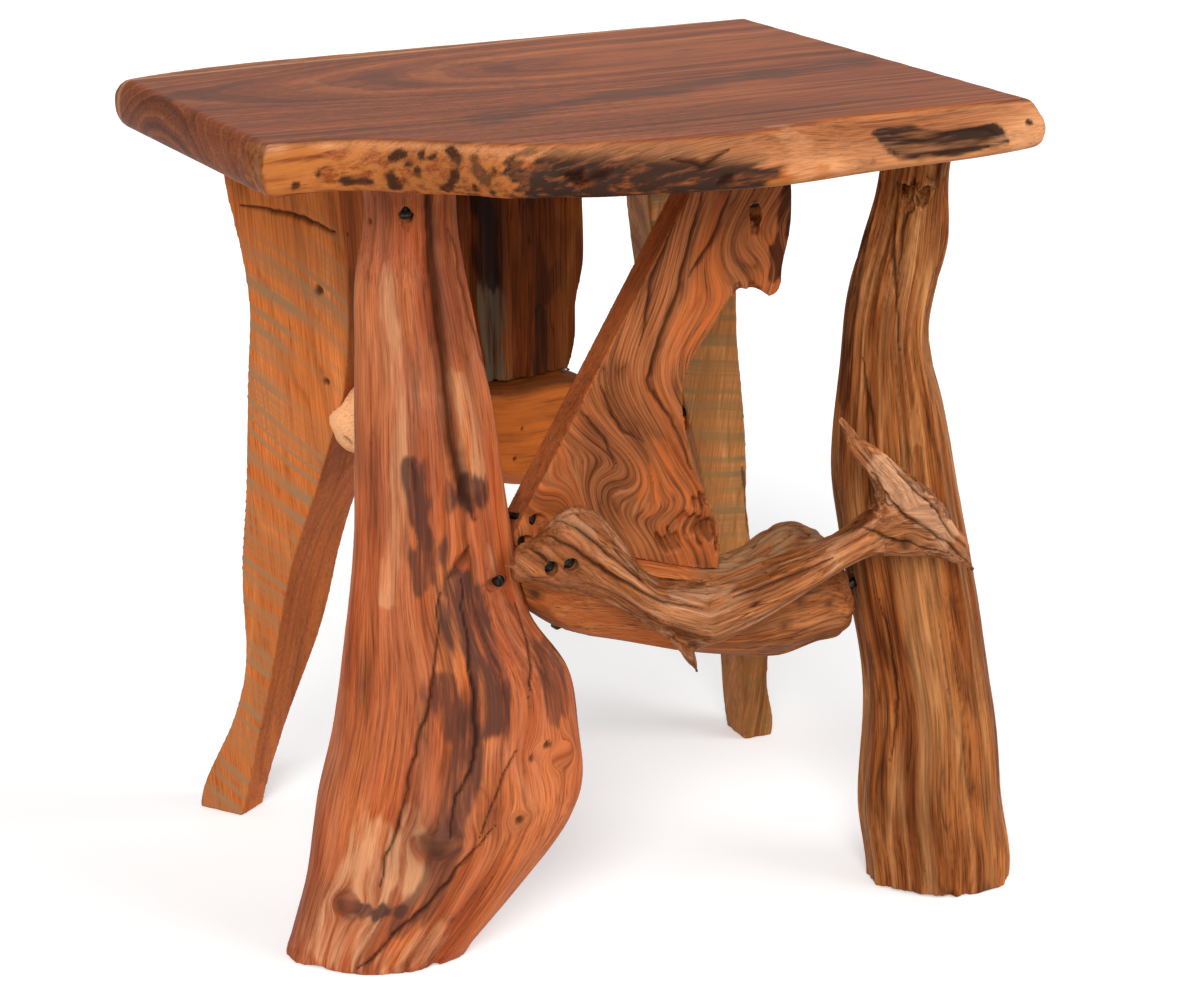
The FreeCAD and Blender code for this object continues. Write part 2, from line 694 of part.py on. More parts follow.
# Screws: each is turned from one profile, head outside the seat and point ahead of it.
class Fastener:
    """A kind of screw: its solid and the clearance hole that it needs."""

    def __init__(self, diameter, head_diameter, head_height, length):
        self.radius = diameter / 2
        self.head_radius = head_diameter / 2
        self.head_height = head_height
        self.length = length

    def solid(self, seat, direction):
        """The screw with its head's underside on the seat."""
        bevel = self.head_height * HEAD_BEVEL_SHARE
        profile = [
            Vector(0, 0, -self.head_height),
            Vector(self.head_radius - bevel, 0, -self.head_height),
            Vector(self.head_radius, 0, bevel - self.head_height),
            Vector(self.head_radius, 0, 0),
            Vector(self.radius, 0, 0),
            Vector(self.radius, 0, self.length * (1 - POINT_SHARE)),
            Vector(0, 0, self.length),
        ]
        outline = Part.makePolygon(profile + profile[:1])
        shape = Part.Face(outline).revolve(ORIGIN, UP, FULL_TURN)
        shape.Placement = Placement(seat, Rotation(UP, direction))
        return shape

    def hole(self, seat, direction):
        """The clearance hole for the shank and the counterbore that the head sits in."""
        slack = size("screw_clearance")
        shank = Part.makeCylinder(self.radius + slack, self.length + slack, seat, direction)
        sink = self.head_height + size("cut_overrun")
        bore = Part.makeCylinder(self.head_radius + slack, sink, seat - direction * sink, direction)
        return shank.fuse(bore)


wood_screw = Fastener(size("screw_diameter"), size("screw_head_diameter"), size("screw_head_height"),
                      size("screw_length"))
lag_screw = Fastener(size("lag_diameter"), size("lag_head_diameter"), size("lag_head_height"),
                     size("lag_length"))


def aimed(surface, direction, recess):
    """A screw's seat, sunk along its way from a point on the wood's surface, and that way."""
    way = Vector(direction).normalize()
    return surface + way * recess, way


toe_rise = math.cos(math.radians(size("toe_screw_angle")))
toe_run = math.sin(math.radians(size("toe_screw_angle")))
recess = size("screw_recess")
lag_recess = size("lag_recess")


def log_leg_toe(leg, aside):
    """A toe screw from a log leg's front up into the slab."""
    surface = leg.surface(slab_underside - size("toe_screw_drop"), FRONT_ANGLE) + leg.across * aside
    return aimed(surface, leg.deep * toe_run + UP * toe_rise, recess)


def board_toe(body, across, height, depth, run, rise):
    """A slanted screw that starts on an upright board's face, at a depth behind its front."""
    turn = body.Placement.Rotation
    start = body.Placement.Base + turn.multVec(Vector(across, depth, 0))
    return aimed(Vector(start.x, start.y, height), turn.multVec(Vector(0, run, rise)), recess)


toe_height = slab_underside - size("toe_screw_drop")
pair = size("screw_pair_gap") / 2
plank_toe_share = 0.1
plank_toe_depth_share = 0.8
leg_toe_screws = [log_leg_toe(front_left, 0), log_leg_toe(front_right, -pair), log_leg_toe(front_right, pair)]
for plank in (back_left, back_right):
    for side in (-1, 1):
        across = plank.width * plank_toe_share + side * size("plank_screw_spread") / 2
        surface = plank.at(across, toe_height, plank.thickness * plank_toe_depth_share)
        leg_toe_screws.append(aimed(surface, UP * toe_rise - plank.deep * toe_run, recess))

# The brace: one toe screw up into the slab from its front, two down into the log from behind,
# and two slanted from its front, near its sloping edge, into the log leg beside it.
brace_toe_share = 0.814
brace_foot_shares = (0.30, 0.55)
brace_side_turn = 45
brace_thickness = size("brace_thickness")
brace_screws = [board_toe(brace_body, size("brace_width") * brace_toe_share,
                          slab_underside - size("brace_screw_drop"), 0, toe_run, toe_rise)]
for share in brace_foot_shares:
    brace_screws.append(board_toe(brace_body, size("brace_width") * share,
                                  size("front_log_height") + size("foot_screw_rise"), brace_thickness,
                                  -toe_run, -toe_rise))
brace_slope = [(up, across) for across, up in brace_edge_shares[-1]]
brace_side_way = Rotation(UP, -brace_side_turn).multVec(-front_rail_along)
for rise in (size("brace_side_upper_rise"), size("brace_side_lower_rise")):
    across = size("brace_width") * row_at(brace_slope, rise / brace_reach)[0] + size("brace_side_inset")
    start = brace_body.Placement.Base + front_rail_along * across + UP * rise
    brace_screws.append(aimed(start, brace_side_way, size("brace_side_recess")))

# The rear board: two toe screws up into the slab and two down into the log, all from behind.
rear_board_screw_shares = (-0.25, 0.25)
rear_board_screws = []
for share in rear_board_screw_shares:
    across = size("rear_board_width") * share
    depth = size("rear_board_thickness")
    rear_board_screws.append(board_toe(rear_board_body, across, toe_height, depth, -toe_run, toe_rise))
    rear_board_screws.append(board_toe(rear_board_body, across,
                                       size("rear_log_height") + size("board_screw_rise"), depth,
                                       -toe_run, -toe_rise))

# The branch: two screws through its left end, and a lag from behind the right log leg.
branch_screw_rows = ((0.219, 1.19), (0.256, 1.196))
branch_screws = []
for along_share, height_share in branch_screw_rows:
    slope, half_height, half_deep, stand_off = row_at(
        [(row[0],) + row[2:] for row in branch_shares], along_share)
    proud = size("front_log_diameter") * stand_off + size("branch_diameter") * half_deep
    start = front_rail_point(along_share, size("front_log_height") * height_share) - front_rail_deep * proud
    branch_screws.append(aimed(start, front_rail_deep, recess))
branch_lag_height_share = 1.21
branch_lag_angle = 97
branch_lag_start = front_right.surface(size("front_log_height") * branch_lag_height_share, branch_lag_angle)
branch_lag = [aimed(branch_lag_start, -front_right.deep, lag_recess)]


def log_underside(along_share):
    """A point of the front log's underside."""
    height_share, half_height, _ = row_at(front_log_shares, along_share)
    centre = front_rail_point(along_share, size("front_log_height") * height_share)
    return centre - UP * (half_height * size("front_log_diameter"))


# The front log: a lag from its underside into each log leg, and one screw into its left end
# through the left leg's side, just clear of the branch's tip.
front_lag_rows = ((0.305, -1), (0.665, 1))
front_rail_lags = []
for along_share, side in front_lag_rows:
    way = front_rail_along * (side * math.cos(math.radians(size("lag_rise_angle"))))
    way = way + UP * math.sin(math.radians(size("lag_rise_angle")))
    front_rail_lags.append(aimed(log_underside(along_share), way, lag_recess))
side_screw_turn = 54
side_screw_along = front_rail_way.Length * branch_shares[0][0] - size("screw_head_diameter")
side_screw_starts = [front_left.surface(size("front_log_height") + size("side_screw_rise"), angle)
                     for angle in range(FRONT_ANGLE, 0)]
side_screw_start = min(side_screw_starts, key=lambda start: abs(
    (start - front_rail_start).dot(front_rail_along) - side_screw_along))
side_screw_way = Rotation(UP, side_screw_turn).multVec(front_rail_along)
log_side_screw = [aimed(side_screw_start, side_screw_way, size("side_screw_recess"))]

# The rear log: a lag through its left end into the back left leg, and one through the back right
# leg's far edge into its tail.
rear_lag_share = 0.15
rear_lag_height_share, _, rear_lag_half_deep = row_at(rear_log_shares, rear_lag_share)
rear_lag_start = (rear_rail_point(rear_lag_share, size("rear_log_height") * rear_lag_height_share)
                  - rear_deep * (rear_lag_half_deep * size("rear_log_diameter")))
rear_tail_height = size("rear_log_height") * rear_log_shares[-1][1]
rear_tail_start = back_right.edge(back_right.right_shares, rear_tail_height, back_right.thickness / 2)
rear_rail_lags = [
    aimed(rear_lag_start, rear_deep, lag_recess),
    aimed(rear_tail_start, -rear_along, lag_recess),
]

# Each group of like screws, and the wooden pieces that it goes through.
screw_groups = [
    ("leg_toe_screws", wood_screw, leg_toe_screws,
     ["top_slab", "front_left_leg", "front_right_leg", "back_left_leg", "back_right_leg"]),
    ("brace_screws", wood_screw, brace_screws,
     ["top_slab", "brace_slab", "front_log_rail", "front_left_leg"]),
    ("rear_board_screws", wood_screw, rear_board_screws, ["top_slab", "rear_board", "rear_log_rail"]),
    ("branch_screws", wood_screw, branch_screws, ["branch_rail", "brace_slab", "front_log_rail"]),
    ("branch_lag", lag_screw, branch_lag, ["front_right_leg", "branch_rail"]),
    ("front_rail_lags", lag_screw, front_rail_lags,
     ["front_log_rail", "front_left_leg", "front_right_leg"]),
    ("log_side_screw", wood_screw, log_side_screw, ["front_left_leg", "front_log_rail"]),
    ("rear_rail_lags", lag_screw, rear_rail_lags, ["rear_log_rail", "back_left_leg", "back_right_leg"]),
]


def drilled(name, blank):
    """A wooden piece with the holes of the screws that go through it."""
    holes = []
    for _, kind, spots, through in screw_groups:
        if name in through:
            holes += [kind.hole(*spot) for spot in spots]
    tool = holes[0].fuse(holes[1:]) if len(holes) > 1 else holes[0]
    return cut(name + "_drilled", blank, feature(name + "_holes", tool))


# Drilling and seating: each wooden piece is drilled, and then coped to whatever it bears on.
gap = size("seat_gap")
front_left_seat = feature("front_left_seat", front_left.solid(gap))
front_right_seat = feature("front_right_seat", front_right.solid(gap))
front_log_seat = feature("front_log_seat", front_log_solid(gap))
rear_log_seat = feature("rear_log_seat", rear_log_solid(gap))
wooden_pieces = [
    ("top_slab", slab_blank, []),
    ("front_left_leg", front_left_blank, []),
    ("front_right_leg", front_right_blank, []),
    ("back_left_leg", back_left.trimmed, []),
    ("back_right_leg", back_right.trimmed, []),
    ("front_log_rail", front_log_sanded, [front_left_seat, front_right_seat]),
    ("rear_log_rail", rear_log_sawn, [back_left.trimmed, back_right.trimmed]),
    ("brace_slab", brace_body, [front_log_seat, front_left_seat]),
    ("rear_board", rear_board_body, [rear_log_seat]),
    ("branch_rail", branch_forked, [brace_body, front_log_seat, front_left_seat, front_right_seat]),
]
for name, blank, seats in wooden_pieces:
    item = drilled(name, blank)
    for number, seat in enumerate(seats, start=1):
        item = cut(f"{name}_seated_{number}", item, seat)
    piece(name, item)
for name, kind, spots, _ in screw_groups:
    piece(name, feature(name, Part.makeCompound([kind.solid(*spot) for spot in spots])))
document.recompute()

# Check every object before anything is written.
for item in document.Objects:
    if "Invalid" in item.State or "Error" in item.State:
        raise RuntimeError(f"{item.Name} failed: {item.State}")
bounds = FreeCAD.BoundBox()
for item in subparts:
    if item.Shape.isNull() or not item.Shape.isValid():
        raise RuntimeError(f"{item.Label} has no valid shape")
    bounds.add(item.Shape.optimalBoundingBox(False))
    print(f"{item.Label}: {len(item.Shape.Solids)} solid, {item.Shape.Volume / 1000:.1f} cm3")

# Centre the table over the origin and write each sub-part.
centring = Placement(Vector(-bounds.Center.x, -bounds.Center.y, -bounds.ZMin), Rotation())
print(f"table: {bounds.XLength:.1f} x {bounds.YLength:.1f} x {bounds.ZLength:.1f} mm")
print(f"centred by {centring.Base.x:.2f}, {centring.Base.y:.2f}, {centring.Base.z:.2f} mm")
os.makedirs("parts", exist_ok=True)
for item in subparts:
    item.Placement = centring.multiply(item.Placement)
    item.Shape.exportStep(f"parts/{item.Label}.step")
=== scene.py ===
import math

import bmesh
import bpy
import numpy as np
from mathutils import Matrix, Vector


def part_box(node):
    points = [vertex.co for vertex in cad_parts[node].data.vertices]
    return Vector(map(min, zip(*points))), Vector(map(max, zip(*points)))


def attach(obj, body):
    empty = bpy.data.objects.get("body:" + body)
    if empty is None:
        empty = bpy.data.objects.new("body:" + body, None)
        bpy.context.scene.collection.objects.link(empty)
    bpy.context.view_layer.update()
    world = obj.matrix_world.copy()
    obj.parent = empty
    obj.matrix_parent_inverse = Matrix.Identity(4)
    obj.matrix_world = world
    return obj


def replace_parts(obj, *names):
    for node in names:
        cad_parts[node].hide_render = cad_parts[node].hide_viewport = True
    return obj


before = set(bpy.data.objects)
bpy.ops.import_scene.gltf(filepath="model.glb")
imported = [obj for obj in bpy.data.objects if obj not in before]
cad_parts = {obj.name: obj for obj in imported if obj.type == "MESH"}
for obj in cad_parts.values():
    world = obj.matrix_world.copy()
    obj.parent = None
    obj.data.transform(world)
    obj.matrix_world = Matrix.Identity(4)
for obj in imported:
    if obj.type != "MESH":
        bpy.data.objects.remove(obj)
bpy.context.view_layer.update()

# A rustic end table: a lacquered live-edge slab on two peeled root logs and two sawn planks,
# tied by crooked logs, a burl brace, a weathered board and a driftwood branch.
# Metres, in the table's own frame: X along the slab's back edge, Y from front to back, Z up.

MM = 0.001


# Camera

CAMERA_PLACE = (-1148.9 * MM, -1964.9 * MM, 1048.8 * MM)
CAMERA_TURN = 31.06
CAMERA_PITCH = 18.0
CAMERA_LENS = 92.31


def add_object(name, data):
    """A new object in the scene."""
    thing = bpy.data.objects.new(name, data)
    bpy.context.scene.collection.objects.link(thing)
    return thing


def set_camera():
    """A level camera in front of the table's left corner, looking down on the slab."""
    data = bpy.data.cameras.new("camera")
    data.lens = CAMERA_LENS
    camera = add_object("camera", data)
    camera.location = CAMERA_PLACE
    camera.rotation_euler = (math.radians(90 - CAMERA_PITCH), 0, math.radians(-CAMERA_TURN))
    bpy.context.scene.camera = camera


# Carving: lengths are millimetres.

# Cells after which the randomness repeats.
LATTICE = 32
# How many places a log or a flow is measured at, how far round each, in places, and how many
# neighbouring values are averaged.
STATIONS = 56
STATION_REACH = 1.5
STATION_SMOOTHING = 3
FLOW_SMOOTHING = 5
# How far apart the grain of a branch's runs is kept, and how much of the way past a run's end counts.
BRANCH_RUN_APART = 90
END_GRAIN_SHARE = 0.3
# How far a knot bends the grain, in radii, and how steep a ridge's sides are.
KNOT_BEND_REACH = 5
RIDGE_STEEPNESS = 2.2
CREST_SHARPNESS = 0.5
# How squarely a surface faces a way when it starts to count, and when it counts in full.
FACING = (0.55, 0.85)
# The length of one wave in an outline or a crack, and how far each strays from side to side.
LINE_WAVE = 16
LINE_WANDER = 6
SPLIT_WANDER = 4
WAVE_SEEDS = (171, 172, 173)
# A crack's steps, the share of it at each end where it tapers no further, and its least width.
SPLIT_STEP = 5
SPLIT_TIP = 0.02
SPLIT_TIP_WIDTH = 0.3
# The groove round a knot's heart, in the knot's radii, and how dark the heart and groove are.
GROOVE_PLACE = 1.15
GROOVE_WIDTH = 0.28
GROOVE_DEPTH = 0.12
HEART_SHADE = 0.5
GROOVE_SHADE = 0.3
# How much of a hole or a chip is at full depth, in radii, and how dark a hole is.
HOLE_CORE = 0.35
CHIP_CORE = 0.7
HOLE_SHADE = 0.9
# The torn layers in a chip: how thick and long, and how much of its depth and shade they take.
CHIP_LAYER = (3.5, 30)
CHIP_LAYER_DEPTH = 0.6
CHIP_LAYER_SHADE = 0.7
# Corners closer than this share of a cell are joined into one, and these are the rounds of
# smoothing before and after the even mesh is laid back onto the CAD shape.
MERGE_SHARE = 0.001
EDGE_SMOOTHINGS = 6
EDGE_ROUNDINGS = 3


class Unevenness:
    """Smooth randomness in space, from 0 to 1: the same seed gives the same wood each time."""

    def __init__(self, seed):
        self.lattice = np.random.default_rng(seed).random((LATTICE, LATTICE, LATTICE))

    def at(self, cells):
        """The randomness at points measured in cells, one bump a cell."""
        base = np.floor(cells).astype(int)
        way = cells - base
        way = way * way * (3 - 2 * way)
        total = np.zeros(len(cells))
        for corner in np.ndindex(2, 2, 2):
            share = np.prod(np.where(corner, way, 1 - way), axis=1)
            near = (base + corner) % LATTICE
            total += share * self.lattice[near[:, 0], near[:, 1], near[:, 2]]
        return total


def smooth_step(values, low, high):
    """0 below low, 1 above high and a soft change between."""
    way = np.clip((values - low) / (high - low), 0, 1)
    return way * way * (3 - 2 * way)


def bell(away, width):
    """1 at no distance, fading out over about a width each way."""
    return np.exp(-(away / width) ** 2)


def average(values, count):
    """Each value averaged with its neighbours, so many in all."""
    return np.convolve(np.pad(values, count // 2, "edge"), np.ones(count) / count, "valid")


def waves_at(points):
    """A smooth random shift at each point, at most half a unit each way."""
    return np.stack([Unevenness(seed).at(points / LINE_WAVE) - 0.5 for seed in WAVE_SEEDS], axis=1)


def points_at(steps, places):
    """The points so many steps along a line, with one step from each of its places to the next."""
    return np.stack([np.interp(steps, range(len(places)), column) for column in places.T], axis=1)


def distance_to(points, places):
    """Each point's distance from a line through places, with how far along that is, 0 to 1."""
    places = np.array(places, float)
    if len(places) == 1:
        return np.linalg.norm(points - places[0], axis=1), np.full(len(points), 0.5)
    nearest = np.full(len(points), np.inf)
    along = np.zeros(len(points))
    for number, (start, end) in enumerate(zip(places, places[1:])):
        way = end - start
        share = np.clip((points - start) @ way / (way @ way), 0, 1)
        away = np.linalg.norm(points - start - share[:, None] * way, axis=1)
        closer = away < nearest
        nearest[closer] = away[closer]
        along[closer] = (number + share[closer]) / (len(places) - 1)
    return nearest, along


class Wood:
    """A piece of wood being carved. Its grain coordinates are those of the trunk that it grew as:
    across, deep and along, as if the trunk were straight and round."""

    LAYERS = ("hollow", "stain", "bleach", "crest")

    def __init__(self, node, cell):
        self.node = node
        self.mesh = even_mesh(node, cell * MM)
        self.points = self.read("co") / MM
        self.outward = self.read("normal")
        self.raised = np.zeros(len(self.points))
        self.layers = {name: np.zeros(len(self.points)) for name in self.LAYERS}
        self.grain = self.points.copy()
        self.wavy = self.points + waves_at(self.points) * LINE_WANDER

    def read(self, name):
        """One vector for each of the mesh's points."""
        values = np.zeros(len(self.mesh.vertices) * 3)
        self.mesh.vertices.foreach_get(name, values)
        return values.reshape(-1, 3)

    def nearest(self, place):
        """The number of the mesh's point nearest a place."""
        return np.argmin(np.sum((self.points - np.array(place, float)) ** 2, axis=1))

    def lay(self, layer, amount):
        """Adds to a colour layer wherever the new amount is stronger."""
        self.layers[layer] = np.maximum(self.layers[layer], amount)

    def grow_straight(self, way, across, pith=(0, 0, 0)):
        """The grain of a sawn board: straight, along a way, at a place from the tree's pith."""
        way = np.array(way, float) / np.linalg.norm(way)
        across = np.array(across, float) - way * np.dot(across, way)
        across = across / np.linalg.norm(across)
        deep = np.cross(way, across)
        apart = self.points - np.array(pith, float)
        self.grain = np.stack([apart @ across, apart @ deep, apart @ way], axis=1)

    def grow_round(self, way, across):
        """The grain of a whole log, which follows the log's swellings, flares and bends."""
        self.grow_straight(way, across)
        along = self.grain[:, 2]
        stations = np.linspace(along.min(), along.max(), STATIONS)
        reach = (stations[1] - stations[0]) * STATION_REACH
        sides = []
        for column in (0, 1):
            rows = []
            for station in stations:
                values = self.grain[np.abs(along - station) < reach, column]
                rows.append((values.min(), values.max()))
            low, high = [average(row, STATION_SMOOTHING) for row in np.array(rows).T]
            middle = np.interp(along, stations, (low + high) / 2)
            half = np.interp(along, stations, (high - low) / 2)
            sides.append(((self.grain[:, column] - middle) / half, half))
        radius = np.mean([half.mean() for _, half in sides])
        self.grain[:, 0] = sides[0][0] * radius
        self.grain[:, 1] = sides[1][0] * radius

    def grow_along(self, paths):
        """The grain of a forked branch: each point follows the nearest of the branch's runs."""
        nearest = np.full(len(self.points), np.inf)
        for number, (places, half) in enumerate(paths):
            places = np.array(places, float)
            lengths = np.linalg.norm(np.diff(places, axis=0), axis=1)
            marks = np.concatenate([[0], np.cumsum(lengths)])
            away, share = distance_to(self.points, places)
            chosen = away / half < nearest
            nearest[chosen] = away[chosen] / half
            steps = share[chosen] * len(lengths)
            centre = points_at(steps, places)
            along = np.interp(steps, range(len(places)), marks)
            way = places[-1] - places[0]
            way = way / np.linalg.norm(way)
            across = np.cross(way, (0, 0, 1))
            across = across / np.linalg.norm(across)
            deep = np.cross(way, across)
            apart = self.points[chosen] - centre
            self.grain[chosen] = np.stack([apart @ across + number * BRANCH_RUN_APART, apart @ deep,
                                           along + apart @ way * END_GRAIN_SHARE], axis=1)

    def part_round(self, place, radius):
        """Bends the grain round a knot, as wood grows past a branch."""
        apart = self.grain - self.grain[self.nearest(place)]
        away = np.linalg.norm(apart, axis=1)
        push = radius ** 2 / np.maximum(away, radius) ** 2
        near = bell(away, radius * KNOT_BEND_REACH)
        aside = apart * (push * near)[:, None]
        aside[:, 2] = 0
        self.grain = self.grain - aside

    def bend_grain(self, flow):
        """Bends straight grain to flow through places, each an across and an along."""
        aside, along = np.array(flow, float).T
        stations = np.linspace(along[0], along[-1], STATIONS)
        smooth = average(np.interp(stations, along, aside), FLOW_SMOOTHING)
        self.grain[:, 0] -= np.interp(self.grain[:, 2], stations, smooth)

    def swirl(self, place, radius, turns):
        """Turns the grain round a place, as burl wood grows over a cluster of buds."""
        seat = self.grain[self.nearest(place)]
        apart = self.grain - seat
        angle = math.tau * turns * bell(np.linalg.norm(apart[:, [0, 2]], axis=1), radius)
        self.grain[:, 0] = seat[0] + apart[:, 0] * np.cos(angle) - apart[:, 2] * np.sin(angle)
        self.grain[:, 2] = seat[2] + apart[:, 0] * np.sin(angle) + apart[:, 2] * np.cos(angle)

    def uneven(self, width, length, seed):
        """Smooth randomness with bumps so wide and so long along the grain, from 0 to 1."""
        return Unevenness(seed).at(self.grain / np.array([width, width, length]))

    def ridges(self, spacing, length, seed, sharpness=1.0):
        """Long ridges along the grain, 1 at their crests and 0 in the furrows between."""
        wave = np.abs(self.uneven(spacing, length, seed) * 2 - 1)
        return np.clip(wave * RIDGE_STEEPNESS, 0, 1) ** sharpness

    def patches(self, width, length, seed, low, high):
        """Soft patches along the grain: 0 where the wood is less uneven than low, 1 past high."""
        return smooth_step(self.uneven(width, length, seed), low, high)

    def furrow(self, spacing, length, depth, seed, sharpness=1.0, where=1.0, tint=0.5):
        """Cuts furrows along the grain, darkened with painted shade and dirt."""
        cut = (1 - self.ridges(spacing, length, seed, sharpness)) * where
        self.raised -= cut * depth
        self.lay("hollow", cut * tint)

    def crest(self, spacing, length, seed, amount, where=1.0):
        """Thin crests along the grain, pale partly from wear and partly as painted highlight."""
        line = (1 - self.ridges(spacing, length, seed, CREST_SHARPNESS)) * where
        self.lay("crest", line * amount)

    def ragged(self, away, stray, patch, seed):
        """Distances that stray in patches along the grain, by half of stray each way."""
        return away + (self.uneven(*patch, seed) - 0.5) * stray

    def split(self, places, width, depth, tint=1.0):
        """Opens a drying crack along the surface, through places near it, tapering to both ends."""
        places = np.array(places, float)
        length = np.linalg.norm(np.diff(places, axis=0), axis=1).sum()
        line = points_at(np.linspace(0, len(places) - 1, int(length / SPLIT_STEP) + 2), places)
        line += waves_at(line) * SPLIT_WANDER
        on_surface = self.points[[self.nearest(place) for place in line]]
        away, along = distance_to(self.points, on_surface)
        away = self.ragged(away, stray=width * 0.5, patch=(width * 2, width * 8), seed=71)
        taper = np.sqrt(np.sin(np.pi * np.clip(along, SPLIT_TIP, 1 - SPLIT_TIP)))
        cut = bell(away, width * taper + SPLIT_TIP_WIDTH)
        self.raised -= cut * depth * taper
        # Painted shade and dirt darken the crack.
        self.lay("hollow", cut * tint)

    def knot(self, place, radius, height, tint=0.8):
        """A knot: a dark heart inside an uneven ring, raised or sunk."""
        away, _ = distance_to(self.points, [place])
        away = self.ragged(away, stray=radius * 0.8, patch=(radius * 0.8, radius * 1.6), seed=73)
        heart = bell(away, radius)
        groove = bell(away - radius * GROOVE_PLACE, radius * GROOVE_WIDTH)
        self.raised += heart * height - groove * radius * GROOVE_DEPTH
        self.lay("stain", heart * tint)
        self.lay("hollow", heart ** 2 * HEART_SHADE * tint)
        self.lay("hollow", groove * GROOVE_SHADE * tint)

    def hole(self, place, radius, depth):
        """A small dark hole, left by a dead twig or an insect."""
        away, _ = distance_to(self.points, [place])
        away = self.ragged(away, stray=radius * 1.2, patch=(2.5, 6), seed=75)
        cut = 1 - smooth_step(away, radius * HOLE_CORE, radius)
        self.raised -= cut * depth
        # Painted shade and dirt darken the hole.
        self.lay("hollow", cut * HOLE_SHADE)

    def tint(self, places, reach, amount, layer, core=0.6, where=1.0):
        """Colours one layer near a line through places, with ragged edges outside a core."""
        away, _ = distance_to(self.wavy, places)
        away = self.ragged(away, stray=reach * 1.1, patch=(4, 34), seed=37)
        self.lay(layer, amount * (1 - smooth_step(away, reach * core, reach)) * where)

    def chip(self, place, radius, depth, seed, tint=0.6):
        """A ragged hollow where wood has broken out in layers."""
        away, _ = distance_to(self.wavy, [place])
        away = self.ragged(away, stray=radius * 1.5, patch=(3, 14), seed=seed)
        cut = 1 - smooth_step(away, radius * CHIP_CORE, radius)
        layers = self.ridges(*CHIP_LAYER, seed)
        self.raised -= cut * depth * (1 - CHIP_LAYER_DEPTH * (1 - layers))
        # Painted shade and dirt darken the hollow, less on the torn layers.
        self.lay("hollow", cut * tint * (1 - CHIP_LAYER_SHADE * layers))

    def facing(self, way):
        """1 where the surface faces a way or its opposite."""
        return smooth_step(np.abs(self.outward @ np.array(way, float)), *FACING)

    def finish(self, material):
        """Cuts the mesh to its carved shape and makes the piece that stands for the CAD node."""
        low, high = [np.array(corner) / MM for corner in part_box(self.node)]
        carved = np.clip(self.points + self.outward * self.raised[:, None], low, high)
        self.mesh.vertices.foreach_set("co", (carved * MM).ravel())
        layer = self.mesh.attributes.new("grain", "FLOAT_VECTOR", "POINT")
        layer.data.foreach_set("vector", (self.grain * MM).ravel())
        for name, amount in self.layers.items():
            layer = self.mesh.attributes.new(name, "FLOAT", "POINT")
            layer.data.foreach_set("value", np.clip(amount, 0, 1))
        self.mesh.materials.clear()
        self.mesh.materials.append(material)
        self.mesh.update()
        piece = add_object(self.node + "_carved", self.mesh)
        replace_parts(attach(piece, "root"), self.node)


def even_mesh(node, cell):
    """A CAD node's shape on an even mesh of small cells, smooth shaded, ready to carve."""
    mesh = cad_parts[node].data.copy()
    shape = bmesh.new()
    shape.from_mesh(mesh)
    bmesh.ops.remove_doubles(shape, verts=shape.verts, dist=cell * MERGE_SHARE)
    shape.to_mesh(mesh)
    shape.free()
    blank = add_object("blank", mesh)
    remesh = blank.modifiers.new("even", "REMESH")
    remesh.mode = "VOXEL"
    remesh.voxel_size = cell
    remesh.use_smooth_shade = True
    blank.modifiers.new("even out", "SMOOTH").iterations = EDGE_SMOOTHINGS
    fit = blank.modifiers.new("back onto the shape", "SHRINKWRAP")
    fit.target = add_object("shape", mesh)
    blank.modifiers.new("round the edges", "SMOOTH").iterations = EDGE_ROUNDINGS
    finished = blank.evaluated_get(bpy.context.evaluated_depsgraph_get())
    even = bpy.data.meshes.new_from_object(finished)
    bpy.data.objects.remove(fit.target)
    bpy.data.objects.remove(blank)
    return even


# Materials

WHITE = "#ffffff"
BLACK = "#000000"
# The dark brown laid in hollows as painted shade and dirt, and in spalt spots and knot hearts.
HOLLOW_SHADE_AND_DIRT = "#260f07"


def linear(code):
    """A screen colour, written as a hex code, in the values that light works with."""
    channels = [int(code[place:place + 2], 16) / 255 for place in (1, 3, 5)]
    return [c / 12.92 if c <= 0.04045 else ((c + 0.055) / 1.055) ** 2.4 for c in channels] + [1]


def empty_tree(owner):
    """The node tree of a material or a world, with nothing in it."""
    owner.use_nodes = True
    owner.node_tree.nodes.clear()
    return owner.node_tree


def add(tree, kind, settings=None, links=None, out=0):
    """Adds a shader node and gives back one of its outputs. Each link is a socket to join or a
    value to set; the setting stops is a ramp's places and hex codes."""
    node = tree.nodes.new("ShaderNode" + kind)
    for name, value in (settings or {}).items():
        if name != "stops":
            setattr(node, name, value)
            continue
        elements = node.color_ramp.elements
        for _ in value[2:]:
            elements.new(0.5)
        for element, (place, code) in zip(elements, value):
            element.position = place
            element.color = linear(code)
    for socket, source in (links or {}).items():
        if isinstance(source, bpy.types.NodeSocket):
            tree.links.new(source, node.inputs[socket])
        else:
            node.inputs[socket].default_value = source
    return node.outputs[out] if node.outputs else None


TIMES = {"operation": "MULTIPLY"}
TIMES_PLUS = {"operation": "MULTIPLY_ADD"}
OVER = {"data_type": "RGBA"}
DARKEN = {"data_type": "RGBA", "blend_type": "MULTIPLY"}
# The Mix node's places for colours: two go in and one comes out.
UNDER = 6
UPPER = 7
MIXED = 2
LINE_NOISE = {"noise_dimensions": "1D"}

